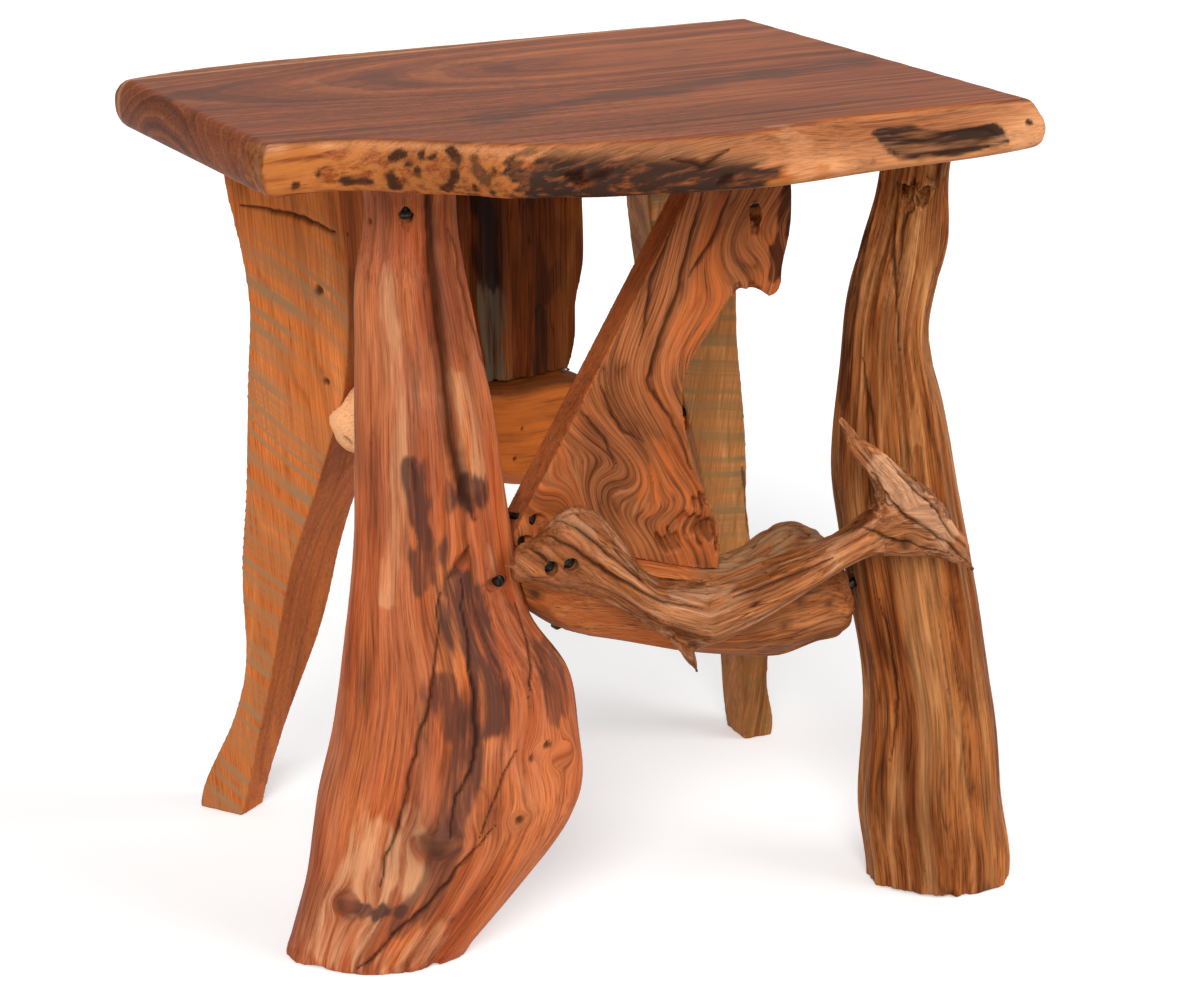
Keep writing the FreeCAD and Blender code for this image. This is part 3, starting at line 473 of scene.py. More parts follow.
# Patterns, in millimetres across and along the grain. Real fibres and pores are about 0.2 mm wide
# and real rings 1 to 4 mm apart, too fine to show here. Fibres and pores are drawn 0.6 to 1.3 mm
# wide and rings as bands of 6 to 13 mm. Saw marks are drawn as the 12 to 13 mm bands they make.
DAB = (5, 60)
LINE_BREAK = (9, 90)
RING_WAVE = (60, 240)
SAW_WAVE = (110, 110)
SAW_SWAY = 22
STEEL_WEAR = (3, 3)
RELIEF_DEPTH = 0.6
# How long a pattern is along the grain: in times its width, and pores in fibre widths.
PATCH_LENGTH = 5
OVAL_LENGTH = 18
FIBRE_LENGTH = 45
PORE_WIDTH = 0.5
PORE_LENGTH = 9
# How many thin lines lie from the pattern's lowest to its highest, and how far from its middle each
# has faded, where the next line is 1 away.
LINE_COUNT = 9
LINE_SHARE = 0.16
# How strongly painted shade and dirt cover a hollow, and how far the roughness goes below and above the
# wood's own.
HOLLOW_SHARE = 0.92
SMOOTHER = 0.06
ROUGHER = 0.14


def streaks(tree, grain, across, along, detail=4, roughness=0.55):
    """Streaks along the grain: so many millimetres across and along."""
    scale = (1 / (across * MM), 1 / (across * MM), 1 / (along * MM))
    cells = add(tree, "VectorMath", TIMES, {0: grain, 1: scale})
    noise = {"Vector": cells, "Scale": 1.0, "Detail": detail, "Roughness": roughness}
    return add(tree, "TexNoise", links=noise)


def growth(tree, grain, width, taper, wander):
    """Growth rings: uneven bands with the distance from the pith, the trunk being a slow cone."""
    flat = add(tree, "VectorMath", TIMES, {0: grain, 1: (1, 1, 0)})
    away = add(tree, "VectorMath", {"operation": "LENGTH"}, {0: flat}, "Value")
    along = add(tree, "SeparateXYZ", links={0: grain}, out=2)
    cone = add(tree, "Math", TIMES_PLUS, {0: along, 1: taper, 2: away})
    wave = streaks(tree, grain, *RING_WAVE, detail=2)
    bent = add(tree, "Math", TIMES_PLUS, {0: wave, 1: wander * MM, 2: cone})
    rings = add(tree, "Math", {"operation": "DIVIDE"}, {0: bent, 1: width * MM})
    return add(tree, "TexNoise", LINE_NOISE, {"W": rings, "Scale": 1.0, "Detail": 3.0, "Roughness": 0.6})


def contours(tree, grain, width):
    """Thin lines that run with the grain and close into long ovals of about a width, as rings do."""
    slopes = streaks(tree, grain, width, width * OVAL_LENGTH, detail=1.5)
    heights = add(tree, "Math", TIMES, {0: slopes, 1: LINE_COUNT})
    fold = add(tree, "Math", {"operation": "PINGPONG"}, {0: heights, 1: 0.5})
    return add(tree, "ValToRGB", {"stops": [(0.0, WHITE), (LINE_SHARE, BLACK)]}, {0: fold})


def saw_bands(tree, way, spacing):
    """Uneven bands in the place where a saw's teeth passed, slightly curved."""
    place = add(tree, "TexCoord", out="Object")
    level = add(tree, "VectorMath", {"operation": "DOT_PRODUCT"}, {0: place, 1: way}, "Value")
    wave = streaks(tree, place, *SAW_WAVE, detail=1)
    bent = add(tree, "Math", TIMES_PLUS, {0: wave, 1: SAW_SWAY * MM, 2: level})
    bands = add(tree, "Math", {"operation": "DIVIDE"}, {0: bent, 1: spacing * MM})
    return add(tree, "TexNoise", LINE_NOISE, {"W": bands, "Scale": 1.0, "Detail": 5.0, "Roughness": 0.62})


def wood(name, light, body, dark, stain, bleach, crest, ring_width, patch, taper=0.03, wander=40,
         broad_share=0.45, roughness=0.48, specular=0.06, relief=0.35, fibre=1.3,
         fibre_tint="#8a786c", oval_width=16, line_strength=0.6, saw=None):
    """A lacquered wood: ring bands from dark to light, broad patches, thin dark lines, fine fibres
    and pores, with the carving's hollows in painted shade and dirt, stains, bleached places and
    pale crests, partly painted highlight, over them."""
    material = bpy.data.materials.new(name)
    tree = empty_tree(material)
    grain = add(tree, "Attribute", {"attribute_name": "grain"}, out="Vector")
    hollows, stains, bleaches, crests = [
        add(tree, "Attribute", {"attribute_name": layer}, out="Fac") for layer in Wood.LAYERS]
    dabs = streaks(tree, grain, *DAB)
    fine = streaks(tree, grain, fibre, fibre * FIBRE_LENGTH, detail=5, roughness=0.7)

    rings = growth(tree, grain, ring_width, taper, wander)
    bands = [(0.36, dark), (0.46, body), (0.55, body), (0.66, light)]
    colour = add(tree, "ValToRGB", {"stops": bands}, {0: rings})
    broad = streaks(tree, grain, patch, patch * PATCH_LENGTH, detail=3)
    tones = add(tree, "ValToRGB", {"stops": [(0.36, dark), (0.5, body), (0.64, light)]}, {0: broad})
    colour = add(tree, "Mix", OVER, {0: broad_share, UNDER: colour, UPPER: tones}, MIXED)

    gaps = streaks(tree, grain, *LINE_BREAK, detail=2)
    broken = add(tree, "ValToRGB", {"stops": [(0.42, BLACK), (0.58, WHITE)]}, {0: gaps})
    lines = add(tree, "Math", TIMES, {0: contours(tree, grain, oval_width), 1: broken})
    lines = add(tree, "Math", TIMES, {0: lines, 1: line_strength})
    colour = add(tree, "Mix", OVER, {0: lines, UNDER: colour, UPPER: linear(stain)}, MIXED)
    fibres = add(tree, "ValToRGB", {"stops": [(0.34, fibre_tint), (0.56, WHITE)]}, {0: fine})
    colour = add(tree, "Mix", DARKEN, {0: 1.0, UNDER: colour, UPPER: fibres}, MIXED)

    if saw:
        height = saw_bands(tree, *saw)
        worn = add(tree, "ValToRGB", {"stops": [(0.42, BLACK), (0.60, WHITE)]}, {0: height})
    else:
        height = fine
        worn = add(tree, "ValToRGB", {"stops": [(0.38, "#404040"), (0.58, WHITE)]}, {0: dabs})
    bleached = add(tree, "Math", TIMES, {0: bleaches, 1: worn})
    threads = add(tree, "ValToRGB", {"stops": [(0.3, "#8a8a8a"), (0.6, BLACK)]}, {0: fine})
    bare = add(tree, "Mix", OVER, {0: threads, UNDER: linear(bleach), UPPER: linear(body)}, MIXED)
    colour = add(tree, "Mix", OVER, {0: bleached, UNDER: colour, UPPER: bare}, MIXED)

    pores = streaks(tree, grain, fibre * PORE_WIDTH, fibre * PORE_LENGTH, detail=2)
    pores = add(tree, "ValToRGB", {"stops": [(0.29, "#909090"), (0.36, BLACK)]}, {0: pores})
    # Crests are paled, partly as wear and partly as a painted highlight on the ridges.
    rubbed = add(tree, "ValToRGB", {"stops": [(0.35, "#b8b8b8"), (0.6, WHITE)]}, {0: fine})
    rubbed = add(tree, "Math", TIMES, {0: crests, 1: rubbed})
    stained = add(tree, "ValToRGB", {"stops": [(0.30, "#9c9c9c"), (0.5, WHITE)]}, {0: dabs})
    stained = add(tree, "Math", TIMES, {0: stains, 1: stained})
    shaded = add(tree, "Math", TIMES, {0: hollows, 1: HOLLOW_SHARE})
    for share, tone in ((pores, stain), (rubbed, crest), (stained, stain), (shaded, HOLLOW_SHADE_AND_DIRT)):
        colour = add(tree, "Mix", OVER, {0: share, UNDER: colour, UPPER: linear(tone)}, MIXED)

    gloss = {"Value": fine, "To Min": roughness - SMOOTHER, "To Max": roughness + ROUGHER}
    rough = add(tree, "MapRange", links=gloss)
    bump = add(tree, "Bump", links={"Strength": relief, "Distance": RELIEF_DEPTH * MM, "Height": height})
    skin = {"Base Color": colour, "Roughness": rough, "Normal": bump, "Specular IOR Level": specular}
    surface = add(tree, "BsdfPrincipled", links=skin)
    add(tree, "OutputMaterial", links={0: surface})
    return material


def oxide_steel(name, colour, rubbed):
    """Blackened steel, rubbed brighter in places."""
    material = bpy.data.materials.new(name)
    tree = empty_tree(material)
    wear = streaks(tree, add(tree, "TexCoord", out="Object"), *STEEL_WEAR)
    tone = add(tree, "ValToRGB", {"stops": [(0.45, colour), (0.7, rubbed)]}, {0: wear})
    rough = add(tree, "MapRange", links={0: wear, "To Min": 0.4, "To Max": 0.6})
    skin = {"Base Color": tone, "Metallic": 0.8, "Roughness": rough}
    surface = add(tree, "BsdfPrincipled", links=skin)
    add(tree, "OutputMaterial", links={0: surface})
    return material


# Red-brown heartwood under a satin lacquer: shows flowing rings and a soft sheen.
slab_wood = wood(
    "walnut_slab_satin_lacquer", "#bc6b38", "#964d28", "#6a371e", "#38261e", "#b36c36", "#dc9f70",
    ring_width=8, taper=0.0, wander=14, patch=90, roughness=0.36, specular=0.02, relief=0.1,
    fibre=1.2, fibre_tint="#a08c80", oval_width=30, line_strength=0.35)
# Orange root wood, peeled and lacquered: shows long shallow flutes and purple-brown stains.
root_wood = wood(
    "cedar_root_log_peeled", "#cd723a", "#b1542b", "#7a381c", "#452c26", "#d9a072", "#e2a278",
    ring_width=13, patch=36, broad_share=0.6, fibre_tint="#b3a296", oval_width=30,
    line_strength=0.55)
# Browner fluted log, peeled and lacquered: shows deep weathered furrows.
fluted_wood = wood(
    "cedar_log_fluted", "#cb7f43", "#a55b29", "#723814", "#2c1006", "#cd8a50", "#d99a60",
    ring_width=8, patch=34, line_strength=0.7)
# Circular-sawn plank under lacquer: shows orange wood crossed by grey-brown bands of saw marks.
sawn_wood = wood(
    "cedar_plank_rough_sawn", "#e08344", "#cf7234", "#a65826", "#4e2a18", "#93714f", "#d9935f",
    ring_width=11, taper=0.05, patch=60, roughness=0.5, relief=0.6, fibre_tint="#d0c2b6",
    saw=((0.30, -0.53, 1), 13), line_strength=0.3)
# Paler sawn plank: shows tan wood crossed by near-level grey bands.
pale_sawn_wood = wood(
    "cedar_plank_pale_sawn", "#d2955a", "#bb7a43", "#8e5629", "#40220f", "#7c6644", "#c99a62",
    ring_width=9, taper=0.05, patch=60, roughness=0.5, relief=0.6, fibre_tint="#d0c2b6",
    saw=((0.10, 0, 1), 12), line_strength=0.4)
# Smooth peeled log with a sanded facet: shows even orange-brown, and grey-brown bark on its hump.
front_rail_wood = wood(
    "cedar_log_peeled_part_sanded", "#ca7c48", "#b2693a", "#84481f", "#3f2614", "#a84f1e", "#a98560",
    ring_width=8, patch=50, line_strength=0.45)
# Smooth peeled log, sawn in front: shows even orange, a pale rounded nose brightened with
# painted light, and a top darkened with painted shade.
rear_rail_wood = wood(
    "cedar_log_peeled_sawn_front", "#cf7636", "#b96326", "#8e4a1c", "#43230f", "#d4722c", "#f8ba86",
    ring_width=12, patch=70, fibre_tint="#d0c2b6", line_strength=0.25)
# Burl wood: shows curling brown figure with dark seams.
burl_wood = wood(
    "burl_board_lacquered", "#bc7042", "#a45f35", "#804726", "#38170a", "#cc652a", "#cf8d60",
    ring_width=9, taper=0.05, patch=28, broad_share=0.72, wander=60, oval_width=15,
    line_strength=0.45)
# Old board left rough: shows dark weathered strips.
weathered_wood = wood(
    "barn_board_weathered", "#b4601f", "#874211", "#522306", "#1a0c04", "#6f6a54", "#b07034",
    ring_width=9, patch=40, roughness=0.6, oval_width=12)
# Driftwood, wire-brushed and lacquered: shows long pale crests over dark furrows.
drift_wood = wood(
    "driftwood_brushed_lacquered", "#cb8250", "#a46033", "#6f3a18", "#241006", "#a8623a", "#dfa67c",
    ring_width=6, taper=0.02, patch=26, oval_width=10, line_strength=0.9, fibre=1.1)
# Black-oxide steel: shows dark screw heads deep in their holes.
black_steel = oxide_steel("black_oxide_steel", "#1c1a19", "#4a4643")


# Wood pieces, in millimetres in the table's frame. A crack is its places, width and depth, a knot
# its place, radius and height, a hole its place, radius and depth, and a tint its places, reach,
# strength and layer. A number after these is the shade, or a tint's core where it isn't the usual.

UP = (0, 0, 1)
LEG_ACROSS = (0.857, -0.515, 0)
RAIL_ALONG = (0.967, -0.253, 0)
RAIL_DEEP = (0.253, 0.967, 0)
TOWARDS_LEFT = (-0.87, -0.49, 0)
TOWARDS_FRONT = (-0.1, -0.99, 0)

# The pith under the slab, and how far its rings shift at the left end. Then the edge of the pale
# strip along the slab's back, and the paler line past it.
SLAB_PITH = (-60, 57, 552)
SLAB_PITH_SHIFT = 42
SLAB_PALE_STRIP = (22, 25)
SLAB_PALE_LINE = 29
SLAB_SIDE_TINTS = [
    ([(-299, -123, 628), (-255, -130, 625), (-205, -165, 623), (-166, -204, 625), (-144, -220, 622)],
     40, 0.9, "bleach"),
    ([(30, -266, 623), (119, -264, 619), (260, -262, 621), (285, -200, 621)], 46, 0.95, "bleach"),
    ([(-140, -226, 618), (-107, -235, 627), (-76, -249, 623), (-45, -262, 619), (-20, -268, 617)],
     33, 1.0, "stain", 0.75),
    ([(218, -262, 628), (262, -258, 626), (285, -210, 628)], 24, 0.75, "crest"),
    ([(60, -268, 628), (104, -262, 634)], 20, 0.7, "crest")]
SLAB_TINTS = [
    ([(-125, -114, 640), (-99, -103, 640), (-46, -92, 640), (-6, -82, 640), (25, -88, 640),
      (71, -72, 640), (140, -66, 640), (230, -60, 640)], 24, 0.62, "stain", 0.25),
    ([(-183, 62, 640), (-120, 76, 640), (-19, 89, 640)], 12, 0.35, "stain", 0.3),
    ([(36, -250, 635), (36, -262, 627), (34, -271, 619)], 18, 0.5, "crest"),
    # A pale band on the upper rim of the front-left edge: painted highlight and wear.
    ([(-299, -123, 640), (-255, -130, 640), (-205, -165, 640), (-166, -204, 640), (-144, -222, 640)],
     7, 0.6, "crest", 0.4),
    ([(118, -258, 621), (150, -264, 622), (198, -264, 623)], 14, 1.0, "stain", 0.8),
    ([(-178, -190, 632), (-172, -197, 618)], 5, 0.8, "stain")]
SLAB_CRACKS = [
    ([(-117, -234, 620), (-108, -237, 622), (-99, -240, 625)], 2.4, 3),
    ([(-60, -250, 628), (-48, -255, 627), (-40, -259, 625), (-30, -257, 629), (-19, -256, 633)], 2.6, 3),
    ([(-34, -267, 611), (-28, -268, 614), (-22, -268, 618)], 3.0, 4),
    ([(117, -253, 630), (127, -259, 624), (142, -262, 623), (166, -259, 627), (196, -261, 627),
      (206, -265, 621)], 2.5, 1.4, 0.6),
    ([(110, -262, 621), (120, -268, 611), (129, -269, 611), (151, -268, 614), (183, -267, 617),
      (206, -265, 621)], 2.5, 1.4, 0.6)]
# Dark spalt spots, each with its size. The stain reaches a little further than the dirt in it.
SLAB_SPOTS = [
    ([(-219, -149, 630), (-213, -154, 631)], 11), ([(-204, -162, 632)], 10), ([(-198, -169, 631)], 9),
    ([(-186, -177, 635), (-183, -180, 628)], 13), ([(-246, -135, 612), (-234, -142, 614)], 9),
    ([(-221, -151, 617), (-219, -153, 610)], 13), ([(-189, -183, 620), (-194, -178, 610)], 13),
    ([(-262, -128, 620)], 7), ([(-279, -124, 610)], 7), ([(-136, -226, 615)], 7),
    ([(238, -260, 625)], 7), ([(94, -268, 615)], 9), ([(-212, -158, 624)], 9),
    ([(-206, -162, 618), (-202, -164, 612)], 9), ([(-178, -192, 612)], 8),
    ([(-171, -198, 634), (-168, -202, 626)], 7), ([(-228, -144, 622)], 7), ([(-196, -170, 636)], 7)]
SPOT_STAIN = 0.42
SPOT_DIRT = 0.34
SPOT_CORE = 0.7


def carve_top_slab():
    """The slab: flat faces left sanded, live edges rippled, with spalt stains and bark cracks."""
    slab = Wood("top_slab", 2.4)
    slab.grow_straight((1, -0.03, 0), (0, 1, 0), SLAB_PITH)
    slab.grain[:, 1] += SLAB_PITH_SHIFT * (1 - smooth_step(slab.points[:, 0], -330, 60))
    side = 1 - smooth_step(slab.outward[:, 2], 0.55, 0.9)
    live = side * smooth_step(-slab.points[:, 1], 60, 110)
    slab.furrow(22, 140, 1.3, 3, where=live, tint=0.0)
    from_back = slab.points[:, 1].max() - slab.points[:, 1]
    from_back = slab.ragged(from_back, stray=8, patch=(14, 160), seed=5)
    slab.lay("bleach", 1 - smooth_step(from_back, *SLAB_PALE_STRIP))
    slab.lay("crest", bell(from_back - SLAB_PALE_LINE, 2.5) * 0.8)
    slab.lay("stain", smooth_step(-slab.outward[:, 0], 0.4, 0.8) * side * 0.3)
    slab.lay("crest", live * smooth_step(slab.points[:, 0], 30, 70) * 0.4)
    # A painted highlight: a pale line along the rounded upper rim of the front edge.
    painted_rim_highlight = bell(slab.outward[:, 2] - 0.72, 0.16) * smooth_step(-slab.points[:, 1], 90, 130)
    slab.lay("crest", painted_rim_highlight * 0.45)
    for tint in SLAB_SIDE_TINTS:
        slab.tint(*tint, where=side)
    for tint in SLAB_TINTS:
        slab.tint(*tint)
    for places, size in SLAB_SPOTS:
        slab.tint(places, size * SPOT_STAIN, 0.9, "stain", SPOT_CORE)
        slab.tint(places, size * SPOT_DIRT, 0.5, "hollow", SPOT_CORE)
    slab.hole((-124, -231, 620), 8, 6)
    for crack in SLAB_CRACKS:
        slab.split(*crack)
    slab.finish(slab_wood)


# Places that the root log's grain bends round, and the two buried twigs that it swells over.
ROOT_BENDS = [((-157, -124, 321), 5), ((-180, -125, 107), 9), ((-235, -81, 54), 8),
              ((-82, -144, 164), 11), ((-103, -146, 172), 7), ((-121, -146, 120), 6)]
ROOT_TWIGS = [[(-180, -125, 107), (-172, -130, 140), (-166, -132, 165)],
              [(-235, -81, 54), (-220, -96, 50), (-200, -112, 62), (-186, -122, 75)]]
TWIG_WIDTH = 9
TWIG_HEIGHT = 3
ROOT_KNOTS = [((-180, -125, 107), 11, 7, 1.0), ((-235, -81, 54), 8, 6, 1.0),
              ((-170, -126, 44), 4, 1, 0.6)]
ROOT_HOLES = [((-96, -145, 176), 4, 2), ((-111, -146, 168), 4, 2), ((-121, -146, 120), 5, 2),
              ((-179, -93, 575), 5, 3), ((-198, -72, 568), 4, 2)]
# The crevice that runs down from the slab comes first.
ROOT_CRACKS = [
    ([(-168, -100, 700), (-165, -102, 585), (-161, -103, 556), (-160, -109, 514), (-158, -114, 457),
      (-157, -119, 406), (-150, -121, 372), (-143, -122, 352)], 8, 7, 0.95),
    ([(-146, -98, 561), (-141, -100, 532), (-134, -102, 502), (-127, -103, 472), (-120, -104, 445)],
     1.8, 2, 0.7),
    ([(-173, -120, 300), (-175, -120, 266), (-179, -118, 235), (-182, -116, 211), (-190, -111, 180),
      (-197, -107, 148), (-204, -104, 117), (-211, -100, 93), (-215, -99, 72)], 1.4, 2.4),
    ([(-158, -125, 310), (-154, -128, 264), (-153, -133, 227), (-153, -135, 188), (-157, -134, 165),
      (-168, -130, 142), (-172, -129, 114)], 1.4, 2.4),
    ([(-106, -121, 282), (-104, -129, 255), (-111, -142, 215)], 1.2, 2),
    ([(-126, -144, 176), (-141, -142, 141), (-152, -138, 110)], 1.2, 2),
    ([(-140, -142, 118), (-162, -134, 94), (-179, -126, 71), (-193, -119, 51), (-206, -111, 39),
      (-219, -103, 22), (-235, -94, 6)], 1.6, 2.8),
    ([(-186, -107, 400), (-184, -109, 378)], 1.4, 1, 0.6),
    ([(-166, -121, 312), (-156, -124, 322), (-148, -124, 334)], 3.4, 5, 0.8)]
ROOT_STAINS = [
    ([(-235, -81, 54), (-220, -96, 50), (-205, -109, 56)], 8, 0.9),
    ([(-180, -125, 107), (-175, -128, 125)], 9, 0.9),
    ([(-186, -107, 393), (-182, -111, 359), (-178, -115, 341)], 9, 0.85),
    ([(-177, -116, 330), (-184, -111, 326), (-181, -114, 312)], 14, 0.75),
    ([(-155, -121, 372), (-151, -121, 374), (-134, -119, 369)], 14, 0.85),
    ([(-162, -124, 303), (-151, -127, 294), (-146, -128, 275)], 15, 0.85),
    ([(-160, -126, 285), (-150, -131, 257), (-144, -137, 222), (-148, -138, 203)], 23, 0.88),
    ([(-172, -124, 225), (-158, -134, 185), (-161, -133, 160), (-172, -128, 128)], 16, 0.8),
    ([(-176, -126, 95), (-186, -122, 63), (-205, -111, 48)], 15, 0.7),
    ([(-160, -134, 120), (-120, -146, 120)], 14, 0.25),
    ([(-88, -133, 250), (-84, -140, 200)], 14, 0.65)]
ROOT_BARE = [
    ([(-194, -91, 536), (-196, -92, 508), (-192, -101, 422), (-196, -97, 339), (-201, -94, 293)], 8, 0.5),
    ([(-147, -114, 455), (-144, -117, 426), (-141, -119, 396), (-139, -120, 380)], 11, 0.6),
    ([(-204, -109, 85), (-219, -91, 99), (-227, -89, 60), (-246, -75, 22)], 26, 0.7),
    ([(-185, -122, 30), (-205, -108, 10)], 16, 0.6),
    ([(-196, -112, 125), (-190, -116, 112)], 10, 0.6),
    ([(-128, -128, 330), (-120, -132, 280)], 9, 0.5)]


def carve_front_left_leg():
    """The flared root log: long shallow flutes, a dark crevice, knots and drying cracks."""
    leg = Wood("front_left_leg", 1.92)
    leg.grow_round(UP, LEG_ACROSS)
    for place, radius in ROOT_BENDS:
        leg.part_round(place, radius)
    leg.furrow(19, 280, 3.0, 11, tint=0.0)
    leg.furrow(7, 140, 0.6, 12, tint=0.1)
    leg.furrow(9, 190, 1.3, 13, sharpness=0.35, where=leg.patches(25, 120, 14, 0.5, 0.66), tint=0.7)
    leg.furrow(15, 330, 1.2, 18, sharpness=0.22, where=leg.patches(30, 160, 19, 0.4, 0.55), tint=0.75)
    leg.crest(9, 170, 15, 0.22)
    leg.crest(24, 300, 16, 0.3)
    for crack in ROOT_CRACKS:
        leg.split(*crack)
    for knot in ROOT_KNOTS:
        leg.knot(*knot)
    for hole in ROOT_HOLES:
        leg.hole(*hole)
    for twig in ROOT_TWIGS:
        away, along = distance_to(leg.points, twig)
        leg.raised += bell(away, TWIG_WIDTH) * (1 - along) * TWIG_HEIGHT
    for stain in ROOT_STAINS:
        leg.tint(*stain, "stain")
    for bare in ROOT_BARE:
        leg.tint(*bare, "bleach")
    leg.finish(root_wood)


FLUTED_CRACKS = [
    ([(175, -186, 575), (174, -184, 547), (174, -185, 520), (178, -191, 488), (178, -191, 450)], 1.5, 3),
    ([(184, -198, 568), (179, -191, 540), (178, -190, 505)], 1.5, 3),
    ([(159, -170, 440), (162, -177, 402), (165, -182, 370)], 1.6, 3),
    ([(177, -180, 250), (188, -188, 168), (190, -182, 115)], 1.4, 3)]


def carve_front_right_leg():
    """The fluted log: deep furrows all the way up it, dark cracks and pale crests."""
    leg = Wood("front_right_leg", 1.6)
    leg.grow_round(UP, LEG_ACROSS)
    leg.furrow(11, 300, 3.0, 31, tint=0.45)
    leg.furrow(5, 140, 1.1, 32)
    leg.furrow(8, 220, 2.0, 33, sharpness=0.35, where=leg.patches(18, 150, 34, 0.45, 0.62), tint=0.9)
    leg.furrow(12, 320, 1.8, 36, sharpness=0.22, where=leg.patches(25, 150, 37, 0.35, 0.5), tint=0.9)
    leg.crest(8, 200, 35, 0.7)
    for crack in FLUTED_CRACKS:
        leg.split(*crack)
    leg.hole((177, -191, 571), 4, 3)
    leg.hole((182, -198, 575), 4, 3)
    leg.tint([(157, -156, 600), (158, -156, 483), (155, -148, 404)], 10, 0.6, "stain")
    leg.tint([(202, -195, 508), (202, -192, 423), (196, -196, 380)], 8, 0.5, "bleach")
    leg.finish(fluted_wood)


def carve_back_left_leg():
    """The thick sawn plank: slanting saw marks on its broad face and a crack near its top."""
    plank = Wood("back_left_leg", 1.65)
    plank.grow_straight((-0.085, -0.049, 0.995), (0.5, -0.87, 0), (-100, 200, 300))
    broad = plank.facing(TOWARDS_LEFT)
    below = 1 - smooth_step(plank.points[:, 2], 470, 540) * 0.85
    plank.lay("bleach", broad * below * (0.3 + 0.7 * plank.patches(60, 110, 45, 0.3, 0.5)))
    plank.furrow(16, 260, 0.5, 42, where=1 - broad, tint=0.12)
    plank.tint([(-140, 75, 480), (-138, 90, 400), (-140, 110, 330)], 26, 0.35, "stain", where=1 - broad)
    plank.split([(-199, 142, 540), (-172, 95, 536), (-144, 68, 525)], 1.6, 3)
    plank.hole((-161, 87, 479), 5, 3)
    plank.hole((-156, 93, 405), 4, 2)
    plank.hole((-150, 84, 468), 3, 2)
    plank.finish(sawn_wood)


def carve_back_right_leg():
    """The pale sawn plank: near-level saw marks and a crack up its foot."""
    plank = Wood("back_right_leg", 1.6)
    plank.grow_straight((0.092, -0.085, 0.997), (1, -0.1, 0), (230, 190, 300))
    broad = plank.facing(TOWARDS_FRONT)
    high = smooth_step(plank.points[:, 2], 180, 230)
    uneven = 0.6 + 0.4 * plank.patches(60, 130, 55, 0.3, 0.5)
    plank.lay("bleach", broad * uneven * (0.35 + 0.65 * high))
    plank.furrow(16, 240, 0.5, 52, where=1 - broad, tint=0.15)
    plank.lay("stain", broad * (1 - smooth_step(plank.points[:, 2], 120, 190)) * 0.45)
    plank.split([(252, 123, 262), (256, 126, 240), (262, 128, 200)], 1.8, 2, 0.8)
    plank.finish(pale_sawn_wood)


FRONT_LOG_KNOTS = [((-92, -117, 285), 6, -1), ((104, -177, 258), 5, -2), ((131, -180, 254), 4, -1.5),
                   ((93, -174, 241), 5, -2), ((125, -152, 307), 8, -2)]
BARK_DEPTH = 3.5


def carve_front_log():
    """The crooked front log: a sanded facet, a rough right half, and bark left on its hump."""
    log = Wood("front_log_rail", 1.35)
    log.grow_round(RAIL_ALONG, RAIL_DEEP)
    rough = smooth_step(log.points[:, 0], 20, 60)
    log.furrow(9, 90, 2.0, 61, where=rough, tint=0.35)
    log.furrow(4, 50, 0.7, 62, where=0.25 + 0.75 * rough, tint=0.3)
    log.crest(7, 90, 63, 0.25, rough)
    log.lay("bleach", (1 - rough) * 0.6)
    for knot in FRONT_LOG_KNOTS:
        log.knot(*knot)
    bark = smooth_step(log.points[:, 2], 274, 288) * rough
    plates = log.ridges(6, 22, 67, 0.5)
    log.raised -= bark * (1 - plates) * BARK_DEPTH
    log.lay("crest", bark * plates * log.patches(8, 14, 68, 0.1, 0.35))
    log.lay("stain", bark * 0.15)
    log.lay("hollow", bark * (1 - plates) * 0.55)
    log.tint([(136, -150, 303), (140, -156, 300)], 6, 0.8, "crest")
    log.finish(front_rail_wood)


def carve_rear_log():
    """The rear log: a pale rounded nose brightened with painted light, a top darkened by its
    natural brown and by painted shade, and a sawn front.
    """
    log = Wood("rear_log_rail", 1.7)
    log.grow_round(RAIL_ALONG, RAIL_DEEP)
    past_nose = smooth_step(log.points[:, 0], -130, -110)
    log.furrow(14, 200, 0.8, 65, where=past_nose, tint=0.06)
    # The nose is pale as sanded end wood, and brightened further with painted light against the leg's
    # shadow.
    log.lay("crest", 1 - past_nose)
    log.lay("bleach", smooth_step(-log.outward[:, 1], 0.3, 0.6) * past_nose * 0.9)
    # The top is darker: its natural brown, and painted shade under the slab.
    log.lay("stain", smooth_step(log.outward[:, 2], 0.3, 0.6) * past_nose * 0.8)
    log.split([(-152, 76, 362), (-143, 79, 357)], 1.6, 2, 0.7)
    for place in [(16, 91, 341), (22, 95, 325), (8, 88, 318), (38, 100, 330)]:
        log.hole(place, 2.2, 1)
    log.finish(rear_rail_wood)


